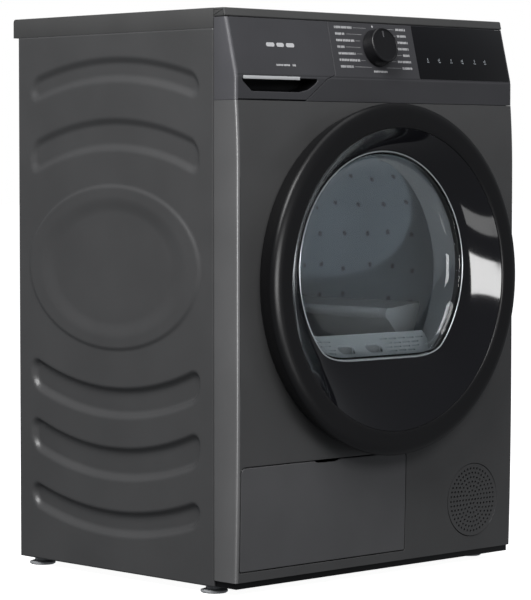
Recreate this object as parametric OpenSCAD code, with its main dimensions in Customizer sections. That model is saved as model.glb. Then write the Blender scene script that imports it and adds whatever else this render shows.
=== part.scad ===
// Front-loading clothes dryer with a porthole door, a rotary programme dial,
// a condensate drawer at the top left and a service flap at the lower left.
// x is to the right, y runs back, z is up from the floor. Inside the modules y is
// measured back from the front panel, and in_row() then centres the whole appliance.

/* [Cabinet] */
// Width over the side panels
body_w = 597; // [590:1:600]
// Height over the worktop with the feet screwed in
body_h = 850; // [848:1:856]
// Depth from the front panel to the back of the side panels
body_d = 499; // [494:1:504]
// How far the worktop stands out behind the side panels
top_overhang = 11.5; // [8:0.5:14]
// Worktop thickness seen from the side
top_t = 29; // [26:1:30]
// Sheet steel thickness
sheet = 1.5; // [1:0.1:1.8]
// Height of the feet under the cabinet
foot_h = 12; // [11:1:14]

/* [Door] */
// How far the door ring stands in front of the front panel
door_stand = 42; // [38:1:44]
// Largest radius of the door ring
ring_r = 264; // [258:1:265]
// Height of the door's centre
door_z = 452.5; // [450:0.5:455]
// Radius of the glass opening
window_r = 178; // [170:1:182]
// Height of the glass opening's centre
window_z = 468; // [464:1:470]

/* [Drum] */
// Outer radius of the drum
drum_r = 270; // [264:1:271]
// Height of the drum axis
drum_z = 460; // [456:1:462]
// Number of lifters inside the drum
lifter_count = 3; // [2:1:4]

/* [Controls] */
// Diameter of the programme dial
dial_d = 57; // [48:1:60]
// How far the dial stands out
dial_h = 21; // [16:1:24]

/* [Hidden] */
$fn = 96;
fit = 0.3;
run = 0.05;
half_w = body_w / 2;
inner_w = half_w - sheet;
side_y = 51;
back_y = body_d;
front_y = -(door_stand + body_d + top_overhang) / 2 + door_stand;
top_z = body_h - top_t;
panel_low = 21.7;
panel_top = 717;
corner_r = 5;

// front panel outline: flat in the middle, falling back towards both ends
flat_low = 295;
flat_high = 616;
fall_low_r = 8550;
fall_high_r = 1205;
function fall(z) =
    z > flat_high ? pow(z - flat_high, 2) / (2 * fall_high_r) :
    z < flat_low ? pow(flat_low - z, 2) / (2 * fall_low_r) : 0;
function steps(a, b, n) = [for (i = [0 : n]) a + (b - a) * i / n];

// control fascia: an upright band below a slanted face
band_y = 4.5;
fascia_low = 717.5;
crease_z = 753;
slant_top_y = 29;
trim_z = 837;
function slant_y(z) = band_y + (z - crease_z) * (slant_top_y - band_y) / (body_h - crease_z);
slant_deg = atan((slant_top_y - band_y) / (body_h - crease_z));

// door
ring_back = -2;
hinge_x = 268;
hinge_y = -20;
pin_r = 3;
dish_r = 226;
dish_front = -38.5;
mouth_r = 215;
flap_x0 = -290;
flap_x1 = 54;
flap_z0 = 36.8;
flap_z1 = 187.6;
flap_axis_y = 11;
flap_axis_z = 44;
vent_x = 207;
vent_z = 101;
vent_r = 56.5;
catch_x = -232;

// drum and drive
drum_y0 = 66;
drum_y1 = 470;
belt_y = 222;
belt_w = 8;
belt_t = 2;
pulley_r = 9;
motor_x = 215;
motor_z = 105;
roller_r = 18;
roller_deg = 35;
roller_gap = 0.3;
idler_r = 13;

// water drawer
drawer_x0 = -293;
drawer_x1 = -93;
tank_x0 = -284;
tank_x1 = -130;
tank_low = 740;
tank_high = 814;

steel = [0.30, 0.30, 0.31];
dark = [0.09, 0.09, 0.10];
zinc = [0.66, 0.67, 0.69];
pale = [0.78, 0.80, 0.81];
copper = [0.72, 0.44, 0.28];

// ---------- helpers ----------
module in_row() translate([0, front_y, 0]) children();

module box(low, high) translate(low) cube(high - low);

// round bar along y, from y0 to y1
module rod_y(x, z, r, y0, y1) translate([x, y0, z]) rotate([-90, 0, 0]) cylinder(r = r, h = y1 - y0);

// round bar along x, from x0 to x1
module rod_x(y, z, r, x0, x1) translate([x0, y, z]) rotate([0, 90, 0]) cylinder(r = r, h = x1 - x0);

// ring or disc turned about a y axis; the outline holds [radius, y] points
module turned_y(z, outline) translate([0, 0, z]) rotate([-90, 0, 0]) rotate_extrude() polygon(outline);

// outline of [x, z] points pushed back from y0 to y1
module slab_y(y0, y1) translate([0, y1, 0]) rotate([90, 0, 0]) linear_extrude(y1 - y0) children();

// outline of [y, z] points drawn out from x0 to x1
module slab_x(x0, x1) translate([x0, 0, 0]) rotate([90, 0, 90]) linear_extrude(x1 - x0) children();

module rounded(w0, w1, h0, h1, r) {
    square_w = w1 - w0 - 2 * r;
    square_h = h1 - h0 - 2 * r;
    translate([w0 + r, h0]) square([square_w, h1 - h0]);
    translate([w0, h0 + r]) square([w1 - w0, square_h]);
    for (x = [w0 + r, w1 - r], z = [h0 + r, h1 - r])
        translate([x, z]) circle(r);
}

module pipe(points, r) {
    for (i = [0 : len(points) - 2]) {
        run_to = points[i + 1] - points[i];
        length = norm(run_to);
        translate(points[i])
            rotate([0, acos(run_to[2] / length), atan2(run_to[1], run_to[0])])
                cylinder(r = r, h = length);
    }
    if (len(points) > 2)
        for (i = [1 : len(points) - 2])
            translate(points[i]) sphere(r + 0.6);
}

// band of sheet that follows the front outline, between two heights
module front_sheet(z0, z1, offset_y, thick) {
    zs = steps(z0, z1, 24);
    near = [for (z = zs) [fall(z) + offset_y, z]];
    far = [for (i = [24 : -1 : 0]) [fall(zs[i]) + offset_y + thick, zs[i]]];
    polygon(concat(near, far));
}

// ---------- cabinet ----------
module base_pan() color(dark) in_row() difference() {
    union() {
        difference() {
            box([-294, 8, foot_h], [294, 494, foot_h + 18]);
            box([-291, 11, foot_h + 4], [291, 491, foot_h + 19]);
        }
        for (p = foot_places)
            translate([p[0], p[1], foot_h]) cylinder(r = 13, h = 26);
    }
    for (p = foot_places)
        translate([p[0], p[1], foot_h - 1]) cylinder(r = foot_stud_r + run, h = 30);
}

foot_places = [[-277, 73], [277, 73], [-277, 470], [277, 470]];
foot_stud_r = 5;

emboss_y0 = 80;
emboss_y1 = 472;
emboss_mid = 275;
emboss_depth = 5;
// pressed bands on the side panels: [height at the middle, rise, width]
bands = [[767, 31, 41], [670, 39, 52], [266, -40, 49], [174, -38, 52], [83.5, -33, 41]];

// one curved band in the (y, z) plane, grown outwards by grow
module band(mid, rise, width, grow) {
    chord = (emboss_y1 - emboss_y0) / 2;
    r = (chord * chord + rise * rise) / (2 * abs(rise));
    centre = rise > 0 ? mid - r : mid + r;
    intersection() {
        translate([emboss_mid, centre]) difference() {
            circle(r + width / 2 + grow, $fn = 360);
            circle(r - width / 2 - grow, $fn = 360);
        }
        translate([emboss_y0 - grow, mid - abs(rise) - width])
            square([emboss_y1 - emboss_y0 + 2 * grow, 2 * abs(rise) + 2 * width]);
    }
}

// one side panel, drawn for the right side; the outside faces +x
module side_panel() {
    difference() {
        union() {
            box([inner_w, side_y, foot_h], [half_w, back_y, top_z]);
            box([inner_w - 9, side_y, foot_h + 30], [half_w, side_y + sheet, top_z]);
            box([inner_w - 12, back_y - sheet, foot_h + 30], [half_w, back_y, top_z]);
            box([inner_w - 12, side_y, top_z - sheet], [half_w, back_y, top_z]);
            for (b = bands)
                slab_x(half_w - emboss_depth - sheet, half_w) band(b[0], b[1], b[2], sheet);
        }
        for (b = bands)
            slab_x(half_w - emboss_depth, half_w + 1) band(b[0], b[1], b[2], 0);
    }
}

module side_panel_left() color(steel) in_row() mirror([1, 0, 0]) side_panel();
module side_panel_right() color(steel) in_row() side_panel();

rear_y = 494.5;
boss_z = 338;
module rear_panel() color(zinc) in_row() difference() {
    union() {
        box([-inner_w + fit, rear_y, foot_h + 30], [inner_w - fit, rear_y + sheet, top_z - 3]);
        // pressed hose boss beside the rear left edge
        box([-283, rear_y, boss_z - 45], [-250, back_y + 6, boss_z + 45]);
    }
    box([-281, rear_y - 1, boss_z - 43], [-252, back_y + 4, boss_z + 43]);
    rod_y(0, drum_z, 150, rear_y - 1, rear_y + 3);
    rod_y(-215, 100, 9, rear_y - 1, rear_y + 3);
}

module rear_cover() color(zinc) in_row() turned_y(drum_z,
    [[0, 507], [120, 507], [146, rear_y + sheet + 2], [165, rear_y + sheet + 2], [165, rear_y + sheet],
     [145, rear_y + sheet], [119, 505.5], [0, 505.5]]);

worktop_r = 5;
module worktop() color(dark) in_row() {
    top_back = back_y + top_overhang;
    slab_x(-half_w, half_w) {
        translate([side_y, top_z]) square([top_back - side_y - worktop_r, top_t]);
        translate([side_y, top_z]) square([top_back - side_y, top_t - worktop_r]);
        translate([top_back - worktop_r, body_h - worktop_r]) circle(worktop_r);
    }
    box([-290, back_y + 0.5, top_z - 16], [290, back_y + 3.5, top_z]);
}

module worktop_trim() color(dark) in_row() {
    back = side_y - fit;
    slab_x(-half_w, half_w)
        polygon([[slant_y(trim_z), trim_z], [slant_y(body_h - 3), body_h - 3],
            [slant_y(body_h) + 1, body_h - 0.9], [slant_y(body_h) + 3, body_h],
            [back, body_h], [back, trim_z]]);
    for (x = [-half_w, half_w - 3])
        slab_x(x, x + 3)
            polygon([[slant_y(top_z), top_z], [slant_y(trim_z), trim_z], [back, trim_z], [back, top_z]]);
}

module front_panel() color(steel) in_row() difference() {
    intersection() {
        union() {
            slab_x(-half_w, half_w) front_sheet(panel_low, panel_top, 0, sheet);
            for (x = [-half_w, half_w - sheet])
                slab_x(x, x + sheet)
                    polygon(concat([for (z = steps(panel_low, panel_top, 24)) [fall(z) + 0.1, z]],
                        [[side_y - fit, panel_top], [side_y - fit, panel_low]]));
            for (s = [-1, 1])
                translate([s * (half_w - corner_r), corner_r, panel_low])
                    difference() {
                        cylinder(r = corner_r, h = panel_top - panel_low);
                        translate([0, 0, -1]) cylinder(r = corner_r - sheet, h = panel_top);
                        translate([-s * corner_r - corner_r, -corner_r, -1])
                            cube([2 * corner_r, 2 * corner_r, panel_top]);
                        translate([-corner_r, 0, -1]) cube([2 * corner_r, 2 * corner_r, panel_top]);
                    }
        }
        linear_extrude(body_h) {
            translate([-half_w, corner_r]) square([body_w, side_y]);
            translate([-half_w + corner_r, -1]) square([body_w - 2 * corner_r, side_y]);
            for (s = [-1, 1])
                translate([s * (half_w - corner_r), corner_r]) circle(corner_r);
        }
    }
    rod_y(0, drum_z, mouth_r, -1, 10);
    slab_y(-1, 10) {
        rounded(flap_x0 - 1, flap_x1 + 1, flap_z0 - 1.6, flap_z1 + 1, 9);
        rounded(flap_x0 - 1, flap_x1 + 1, flap_z0 - 1.6, flap_z0 + 40, 3);
    }
    rod_y(vent_x, vent_z, vent_r + 0.4, -1, 10);
    box([catch_x - 11, -1, 438], [catch_x + 9, 10, 459]);
}

bulkhead_y = 54;
// sheet steel wall with a mouth for the laundry and two roller pins
module front_bulkhead() color(zinc) in_row() {
    difference() {
        slab_y(bulkhead_y, bulkhead_y + 3) rounded(-276, 276, 192, 728, 20);
        rod_y(0, drum_z, 196, bulkhead_y - 1, bulkhead_y + 4);
        box([-132, bulkhead_y - 1, 205], [132, bulkhead_y + 4, 300]);
    }
    for (s = [-1, 1])
        rod_y(s * roller_x, roller_z, 5, bulkhead_y + 3, bulkhead_y + 31);
}
roller_x = (drum_r + roller_r + roller_gap) * sin(roller_deg);
roller_z = drum_z - (drum_r + roller_r + roller_gap) * cos(roller_deg);

module rear_bulkhead() color(zinc) in_row() {
    difference() {
        slab_y(476, 478) rounded(-276, 276, 180, 730, 20);
        rod_y(0, drum_z, 21, 475, 479);
        for (a = [0 : 45 : 315])
            rod_y(150 * cos(a), drum_z + 150 * sin(a), 35, 475, 479);
    }
    for (s = [-1, 1])
        box([s * 240 - 20, 478, foot_h + 4], [s * 240 + 20, 480, 190]);
}

sill = [[22, 314], [66, 362], [66, 240], [22, 240]];
filter_half = 158;
filter_r = 191;
module loading_ring() color(pale) in_row() difference() {
    union() {
        turned_y(drum_z, [[208, 3.4], [219, 3.4], [219, 5.6], [212, 5.6], [212, 26], [197, 26], [194, 72],
            [190, 72], [193, 22], [208, 22]]);
        intersection() {
            rod_y(0, drum_z, 194, 22, 72);
            slab_x(-200, 200) polygon(sill);
        }
    }
    // pocket for the lint filter, open upwards
    box([-113, 28.5, 230], [113, 53.5, 370]);
    intersection() {
        slab_x(-filter_half - 1, filter_half + 1) polygon([[26, 316.4], [68.5, 362.9], [68.5, 370], [26, 370]]);
        rod_y(0, drum_z, filter_r + fit, 20, 73);
    }
}

module door_seal() color([0.05, 0.05, 0.05]) in_row()
    turned_y(drum_z, [[197, 13], [207.7, 13.5], [207.7, 20], [204, 20], [197, 14.5]]);

module rear_bearing() color(zinc) in_row()
    turned_y(drum_z, [[shaft_r + run, 476], [20.5, 476], [20.5, 478], [32, 478], [32, 481], [20, 481],
        [20, 490], [shaft_r + run, 490]]);
shaft_r = 8;

// drive line: the belt runs on the drum and on the motor pulley
drive_dx = motor_x;
drive_dz = motor_z - drum_z;
drive_len = norm([drive_dx, drive_dz]);
drive_deg = atan2(drive_dz, drive_dx);

// outline between two circles joined by their outer tangents, large circle at the origin
module belt_outline(big, small) {
    lean = acos((big - small) / drive_len);
    circle(big, $fn = 180);
    translate([drive_len, 0]) circle(small);
    polygon([[big * cos(lean), big * sin(lean)],
        [drive_len + small * cos(lean), small * sin(lean)],
        [drive_len + small * cos(lean), -small * sin(lean)],
        [big * cos(lean), -big * sin(lean)]]);
}

module in_drive() translate([0, 0, drum_z]) rotate([90, 0, 0]) rotate([0, 0, drive_deg]) children();

module drive_belt() color(dark) in_row() translate([0, belt_y + belt_w, 0]) in_drive()
    linear_extrude(belt_w) difference() {
        belt_outline(drum_r + fit + belt_t, pulley_r + fit + belt_t);
        belt_outline(drum_r + fit, pulley_r + fit);
    }

module drive_motor() color(steel) in_row() difference() {
    union() {
        rod_y(motor_x, motor_z, 50, 112, 196);
        rod_y(motor_x, motor_z, 30, 104, 204);
        box([motor_x - 30, 118, foot_h + 4], [motor_x + 30, 126, motor_z]);
        box([motor_x - 30, 182, foot_h + 4], [motor_x + 30, 190, motor_z]);
        // post that carries the belt idler's arm
        box([arm_x - 10, 186, foot_h + 4], [motor_x - 20, 208, foot_h + 8]);
        box([arm_x - 10, 204.5, foot_h + 4], [arm_x + 10, 208, arm_z + 10]);
        rod_y(arm_x, arm_z, 5, 206, 218);
    }
    rod_y(motor_x, motor_z, 6 + run, 100, 210);
}

module blower_housing() color(dark) in_row() difference() {
    union() {
        rod_y(motor_x, motor_z, 60, 248, 290);
        box([motor_x - 140, 248, motor_z + 20], [motor_x, 290, motor_z + 60]);
        box([motor_x - 40, 262, foot_h + 4], [motor_x + 40, 276, motor_z - 40]);
    }
    rod_y(motor_x, motor_z, 56, 250, 288);
    box([motor_x - 141, 250, motor_z + 22], [motor_x, 288, motor_z + 58]);
    rod_y(motor_x, motor_z, 26, 240, 251);
    rod_y(motor_x, motor_z, 6 + run, 287, 292);
}

comp_x = 200;
comp_y = 362;
module compressor() color(dark) in_row() {
    translate([comp_x, comp_y, 30]) rotate_extrude()
        polygon([[0, 0], [52, 0], [58, 8], [58, 120], [50, 140], [30, 150], [0, 152]]);
    translate([comp_x, comp_y, foot_h + 4]) linear_extrude(14)
        for (a = [0 : 120 : 240]) rotate(a) translate([50, 0]) circle(13);
}

exch_x0 = -262;
exch_x1 = -40;
fin_pitch = (exch_x1 - exch_x0 - 15) / 23;
// places where pipes pass the housing wall: [y, z, pipe radius]
pipe_ports = [[100, 120, 4], [190, 70, 4], [240, 150, 5], [120, 60, 5]];
module fin_block(y0, y1, z1) {
    fin_count = floor((y1 - y0) / 12);
    for (x = [exch_x0, exch_x1 - 3])
        box([x, y0, 46], [x + 3, y1, z1]);
    for (i = [0 : 23])
        box([exch_x0 + 6 + i * fin_pitch, y0 + 1, 46], [exch_x0 + 8 + i * fin_pitch, y1 - 1, z1 - 4]);
    for (i = [0 : fin_count - 1], z = [66, 96, 126])
        rod_x(y0 + 8 + i * 12, z, 4, exch_x0 + 1, exch_x1 - 1);
}
module evaporator() color(zinc) in_row() fin_block(76, 160, 172);
module condenser_coil() color(zinc) in_row() fin_block(176, 300, 172);

module refrigerant_pipes() color(copper) in_row() {
    pipe([[exch_x1, 100, 120], [-4, 100, 120], [-4, 150, 120], [-4, 190, 70], [exch_x1, 190, 70]], 4);
    pipe([[exch_x1, 240, 150], [60, 240, 150], [60, 318, 150], [120, 318, 150],
        [comp_x - 57, comp_y, 120]], 5);
    pipe([[exch_x1, 120, 60], [76, 120, 60], [76, 330, 60], [comp_x - 56, comp_y - 14, 60]], 5);
}

module exchanger_housing() color(dark) in_row() difference() {
    wall_x = exch_x1 + 5;
    union() {
        box([-268, 30, 42], [wall_x + 3, 330, 45.5]);
        for (x = [-268, wall_x])
            box([x, 30, 42], [x + 3, 330, 176]);
        box([-268, 66, 172.3], [wall_x + 3, 330, 176]);
        box([-268, 327, 42], [wall_x + 3, 330, 176]);
        // beam with a hinge socket for the flap at each end
        box([flap_x0 + 1.5, 22, 38], [flap_x1 - 1.5, 30, 46]);
        for (x = [flap_x0 + 1.5, flap_x1 - 5.5]) {
            rod_x(flap_axis_y, flap_axis_z, 3.4, x, x + 4);
            box([x, flap_axis_y, flap_axis_z - 3.4], [x + 4, 30, 50]);
        }
    }
    rod_x(flap_axis_y, flap_axis_z, 2 + run, flap_x0, flap_x1);
    box([-230, 326, 60], [-60, 331, 160]);
    for (p = pipe_ports)
        rod_x(p[0], p[1], p[2] + 0.5, wall_x - 1, wall_x + 4);
}

module exchanger_filter() color(pale) in_row() {
    difference() {
        box([exch_x0, 58, 48], [exch_x1, 70, 168]);
        box([exch_x0 + 8, 57, 56], [exch_x1 - 8, 71, 160]);
    }
    for (i = [1 : 8])
        box([exch_x0 + 8 + i * 22.9 - 1, 60, 55], [exch_x0 + 8 + i * 22.9 + 1, 64.5, 161]);
    box([exch_x0 + 7, 64.5, 55], [exch_x1 - 7, 69, 161]);
    box([-170, 46, 104], [-130, 62, 112]);
}

module condensate_pump() color(dark) in_row() {
    box([-256, 400, foot_h + 4], [-190, 472, 60]);
    translate([-226, 436, 60]) cylinder(r = 24, h = 30);
    translate([-226, 436, 90]) cylinder(r = 5, h = 12);
}

module pump_hose() color(dark) in_row()
    pipe([[-226, 436, 102], [-226, 436, 125], [-284, 436, 150], [-284, 486, 176], [-284, 486, 776],
        [-200, 486, 776], [-200, 442, 776]], 5);

module mains_gland() color(dark) in_row() difference() {
    union() {
        rod_y(-215, 100, 8.7, 480, 499);
        rod_y(-215, 100, 14, 481, 494.2);
        rod_y(-215, 100, 13, 496.3, 499);
    }
    rod_y(-215, 100, 4.6, 479, 500);
}

// ---------- controls ----------
module fascia_outline(inset) {
    polygon([[band_y + inset, fascia_low], [band_y + inset, crease_z],
        [slant_y(trim_z - fit) + inset, trim_z - fit],
        [side_y - fit - (inset > 0 ? -1 : 0), trim_z - fit],
        [side_y - fit - (inset > 0 ? -1 : 0), fascia_low]]);
}

drawer_points = [[drawer_x0, 719], [-156, 719], [-112, 751], [-95, 757], [drawer_x1, trim_z - fit],
    [drawer_x0, trim_z - fit]];

module control_fascia() color(steel) in_row() difference() {
    union() {
        difference() {
            intersection() {
                slab_x(-half_w + 3.2, half_w - 3.2) fascia_outline(0);
                box([-half_w, 0, fascia_low], [half_w, side_y, trim_z - fit]);
            }
            slab_x(-half_w + 5.5, half_w - 5.5) translate([0, -1]) fascia_outline(3.5);
            box([-half_w, 20, fascia_low - 1], [half_w, side_y + 1, fascia_low + 3]);
        }
        // side returns under the worktop trim
        for (x = [-half_w, half_w - 5.2])
            intersection() {
                slab_x(x, x + 5.2) fascia_outline(0);
                box([-half_w, 0, fascia_low], [half_w, side_y, top_z - fit]);
            }
        slab_x(-half_w + 5, half_w - 5) translate([0, fascia_low]) translate([band_y, 0]) square([20, 2.5]);
    }
    // drawer opening
    slab_y(-1, 60) polygon([[drawer_x0 - fit, 716], [-157, 716], [-155.6, 718.5], [-111.5, 750.6],
        [-94.5, 756.6], [drawer_x1 + 0.5, body_h], [drawer_x0 - fit, body_h]]);
    // seat of the display window
    slab_x(display_x0 - 0.2, display_x1 + 0.2) display_outline(-1, 2.2, 0.2);
    on_slant() cylinder(r = 7, h = 20, center = true);
}

display_x0 = 88;
display_x1 = 292.8;
module display_outline(y0, y1, grow) {
    low = crease_z + 2 - grow;
    high = trim_z - 1 + grow;
    polygon([[slant_y(low) + y0, low], [slant_y(high) + y0, high], [slant_y(high) + y1, high],
        [slant_y(low) + y1, low]]);
}
module display_window() color([0.02, 0.02, 0.03]) in_row()
    slab_x(display_x0, display_x1) display_outline(-0.1, 2, 0);

dial_x = 2;
dial_z = 799;
// places children with z along the outward normal of the slanted face
module on_slant() translate([dial_x, slant_y(dial_z), dial_z]) rotate([90 - slant_deg, 0, 0]) children();

module dial_knob() color(dark) in_row() on_slant() {
    rotate_extrude() polygon([[0, 0.6], [dial_d / 2 - 1.5, 0.6], [dial_d / 2, 2],
        [dial_d / 2 - 1.6, dial_h - 2],
        [dial_d / 2 - 3.6, dial_h], [dial_d / 2 - 5, dial_h - 1.2], [0, dial_h - 1.2]]);
    translate([0, 0, -13]) cylinder(r = 3, h = 14);
    translate([-1, dial_d / 2 - 13, dial_h - 1.3]) cube([2, 8, 0.8]);
}

module dial_encoder() color(dark) in_row() on_slant() difference() {
    translate([-14, -14, -17]) cube([28, 28, 11]);
    translate([0, 0, -14]) cylinder(r = 3 + run, h = 20);
}

module control_board() color([0.10, 0.32, 0.20]) in_row() {
    box([-80, 43, 745], [285, 45, 810]);
    for (i = [0 : 5])
        box([-60 + i * 56, 45, 760], [-36 + i * 56, 50, 790]);
}

module tank_housing() color(dark) in_row() difference() {
    union() {
        box([tank_x0 - 4, 54, tank_low - 4], [tank_x1 + 4, 442, tank_high + 4]);
        box([tank_x0 - 7, 54, tank_low - 4], [tank_x0, 60, tank_high + 4]);
    }
    box([tank_x0 - 2, 53, tank_low - 2], [tank_x1 + 2, 438, tank_high + 2]);
}

module vent_grille() color(steel) in_row() difference() {
    rod_y(vent_x, vent_z, vent_r, 2.6, 5);
    for (ring = [1 : 7])
        for (i = [0 : ring * 6 - 1])
            rod_y(vent_x + ring * 7 * cos(i * 60 / ring), vent_z + ring * 7 * sin(i * 60 / ring), 1.9, 1, 6);
    rod_y(vent_x, vent_z, 1.9, 1, 6);
}

// ---------- door ----------
hinge_half = 42;
module hinge_bracket() color(zinc) in_row() {
    box([260, -2.6, door_z - hinge_half], [284, -0.1, door_z + hinge_half]);
    for (s = [-1, 1]) {
        ear = door_z + s * 36;
        rod_ear(ear, 5);
        box([hinge_x - 5, hinge_y, ear - 4], [hinge_x + 5, -2, ear + 4]);
    }
    translate([hinge_x, hinge_y, door_z - 40]) cylinder(r = pin_r, h = 80);
}
module rod_ear(z, r) translate([hinge_x, hinge_y, z - 4]) cylinder(r = r, h = 8);

module latch_plate() color(zinc) in_row() difference() {
    box([catch_x - 16, 2.2, 430], [catch_x + 12.5, 34, 467]);
    box([catch_x - 12.5, 1, 437], [catch_x + 10, 30, 460]);
}

module panel_screws() color(zinc) in_row() {
    for (x = [-270, 270], z = [120, 250, 560, 760])
        screw_y(x, z, rear_y + sheet);
    for (a = [0 : 60 : 300])
        screw_y(157 * cos(a), drum_z + 157 * sin(a), rear_y + sheet + 2);
}
module screw_y(x, z, y) {
    rod_y(x, z, 4, y, y + 1.8);
}

module door_ring() color(dark) in_row() difference() {
    turned_y(door_z, [[256, ring_back], [259, -10], [262, -20], [ring_r, -30], [ring_r - 1.5, -35.5],
        [ring_r - 5, -39.4], [ring_r - 10, -door_stand + 0.8], [ring_r - 16, -door_stand],
        [235, -door_stand + 0.4], [229, -door_stand + 1.6], [dish_r + 0.6, dish_front - 0.2],
        [dish_r + 0.6, -34], [dish_r + 3.5, -34],
        [230, -38], [247, -39], [254, -38], [259.5, -34], [ring_r - 3, -29], [259, -20],
        [256, -10], [253, ring_back]]);
    box([254, -27, door_z - 46], [290, 0, door_z + 46]);
}

chord_z = 331;
dish_sides = 96;
// rings of the gloss dish as [radius, height, y]; its inner edge is off centre
dish_rings = [[dish_r, door_z, dish_front], [window_r, window_z, -3], [window_r, window_z, -0.1],
    [window_r + 3.6, window_z, -0.1], [dish_r, door_z, dish_front + 3]];
module door_dish() color(dark) in_row() {
    rings = len(dish_rings);
    polyhedron(
        [for (g = dish_rings, i = [0 : dish_sides - 1])
            [g[0] * cos(i * 360 / dish_sides), g[2], g[1] + g[0] * sin(i * 360 / dish_sides)]],
        [for (k = [0 : rings - 1], i = [0 : dish_sides - 1])
            let (next = (i + 1) % dish_sides, a = k * dish_sides, b = ((k + 1) % rings) * dish_sides)
                [a + i, b + i, b + next, a + next]]);
}

module glass_outer(grow) intersection() {
    turned_y(window_z, [[0, 0.2], [173 - grow, 0.2], [172 - grow, 10], [162 - grow, 22 - grow],
        [148, 25 - grow], [0, 26 - grow]]);
    box([-200, 0, chord_z - 4 + grow], [200, 30, 700]);
}
module door_glass() color([0.75, 0.85, 0.9, 0.4]) in_row() difference() {
    union() {
        glass_outer(0);
        intersection() {
            rod_y(0, window_z, 188, 0.2, 4.2);
            box([-200, 0, 200], [200, 5, 700]);
        }
    }
    translate([0, -0.3, 0]) glass_outer(4);
}

plug_r = 205;
module door_inner_frame() color(dark) in_row() {
    inner_frame_ring();
    // panel below the straight lower edge of the glass
    intersection() {
        rod_y(0, window_z, 178, 4.6, 7.2);
        box([-200, 0, 280], [200, 10, chord_z - 4.5]);
    }
}
module inner_frame_ring() difference() {
    union() {
        rod_y(0, door_z, 250, -4, -1);
        rod_y(0, drum_z, plug_r, -1, 12);
    }
    rod_y(0, window_z, 190, -5, 4.4);
    rod_y(0, window_z, 176, 0, 13);
    difference() {
        rod_y(0, drum_z, plug_r - 4, 7.4, 13);
        rod_y(0, window_z, 180, 7, 14);
    }
}

module door_hinge() color(zinc) in_row() difference() {
    union() {
        translate([hinge_x, hinge_y, door_z - 31]) cylinder(r = 5, h = 62);
        box([246, -22, door_z - 31], [hinge_x, -18, door_z + 31]);
        box([240, -22, door_z - 31], [246, -4.1, door_z + 31]);
    }
    translate([hinge_x, hinge_y, door_z - 32]) cylinder(r = pin_r + run, h = 64);
}

module door_catch() color(zinc) in_row() {
    box([catch_x - 5, -1, 442], [catch_x + 5, 22, 455]);
    box([catch_x - 5, 16, 442], [catch_x + 8, 22, 455]);
}

// ---------- drum ----------
module drum_shell() color(zinc) in_row() turned_y(drum_z,
    [[214, drum_y0], [drum_r, drum_y0], [drum_r, drum_y1], [drum_r - sheet, drum_y1],
     [drum_r - sheet, drum_y0 + sheet], [216, drum_y0 + sheet], [216, drum_y0 + 6], [214, drum_y0 + 6]]);

module drum_back() color(pale) in_row() difference() {
    turned_y(drum_z, [[0, 462], [110, 462], [120, 464], [drum_r - sheet, 464], [drum_r - sheet, 466],
        [118, 466], [109, 464], [0, 464]]);
    for (ring = [1 : 5])
        for (i = [0 : ring * 6 - 1]) {
            r = 100 + ring * 28;
            rod_y(r * cos(i * 60 / ring), drum_z + r * sin(i * 60 / ring), 3, 460, 468);
        }
}

lifter_r = 207;
lifter_deg = -21;
module drum_lifters() color(pale) in_row()
    for (i = [0 : lifter_count - 1])
        translate([0, 0, drum_z]) rotate([0, -lifter_deg - i * 360 / lifter_count, 0])
            slab_y(170, 455) intersection() {
                circle(drum_r - sheet, $fn = 180);
                union() {
                    polygon([[lifter_r, -10], [lifter_r, 10], [drum_r + 10, 48], [drum_r + 10, -48]]);
                    translate([lifter_r, 0]) circle(10);
                }
            }

module drum_shaft() color(zinc) in_row() {
    rod_y(0, drum_z, 60, 464, 467);
    rod_y(0, drum_z, shaft_r, 467, 494);
}

module rotor_shaft() color(zinc) in_row() {
    rod_y(motor_x, motor_z, 6, 98, belt_y - 3);
    rod_y(motor_x, motor_z, pulley_r + 3, belt_y - 3, belt_y - 0.5);
    rod_y(motor_x, motor_z, pulley_r, belt_y - 0.5, belt_y + belt_w + 0.5);
    rod_y(motor_x, motor_z, pulley_r + 3, belt_y + belt_w + 0.5, belt_y + belt_w + 3);
    rod_y(motor_x, motor_z, 6, belt_y + belt_w + 3, 254);
    rod_y(motor_x, motor_z, 6, 284, 294);
}

module blower_wheel() color(dark) in_row() {
    rod_y(motor_x, motor_z, 48, 281, 284);
    rod_y(motor_x, motor_z, 10, 254, 281);
    for (i = [0 : 23])
        translate([motor_x, 0, motor_z]) rotate([0, i * 15, 0])
            box([38, 256, -1], [48, 281, 1]);
    difference() {
        rod_y(motor_x, motor_z, 48, 254, 257);
        rod_y(motor_x, motor_z, 38, 253, 258);
    }
}

// idler: rests against the back of the belt's slack side
belt_lean = acos((drum_r - pulley_r) / drive_len);
idler_along = 0.78;
idler_out = drum_r + fit + belt_t + fit + idler_r;
idler_u = idler_out * cos(belt_lean) + idler_along * drive_len * sin(belt_lean) * sin(belt_lean);
idler_v = -(idler_out * sin(belt_lean) - idler_along * drive_len * sin(belt_lean) * cos(belt_lean));
idler_x = idler_u * cos(drive_deg) - idler_v * sin(drive_deg);
idler_z = drum_z + idler_u * sin(drive_deg) + idler_v * cos(drive_deg);
arm_length = 50;
arm_x = idler_x + arm_length * cos(drive_deg);
arm_z = idler_z + arm_length * sin(drive_deg);

module idler_arm() color(zinc) in_row() {
    along = [cos(drive_deg), sin(drive_deg)];
    across = [-sin(drive_deg), cos(drive_deg)];
    slab_y(212, 216) difference() {
        union() {
            translate([arm_x, arm_z]) circle(10);
            translate([idler_x, idler_z]) circle(8);
            polygon([for (p = [[0, -6], [arm_length, -6], [arm_length, 6], [0, 6]])
                [idler_x, idler_z] + p[0] * along + p[1] * across]);
        }
        translate([arm_x, arm_z]) circle(5 + run);
    }
    rod_y(idler_x, idler_z, 4, 214, 236);
}

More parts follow.
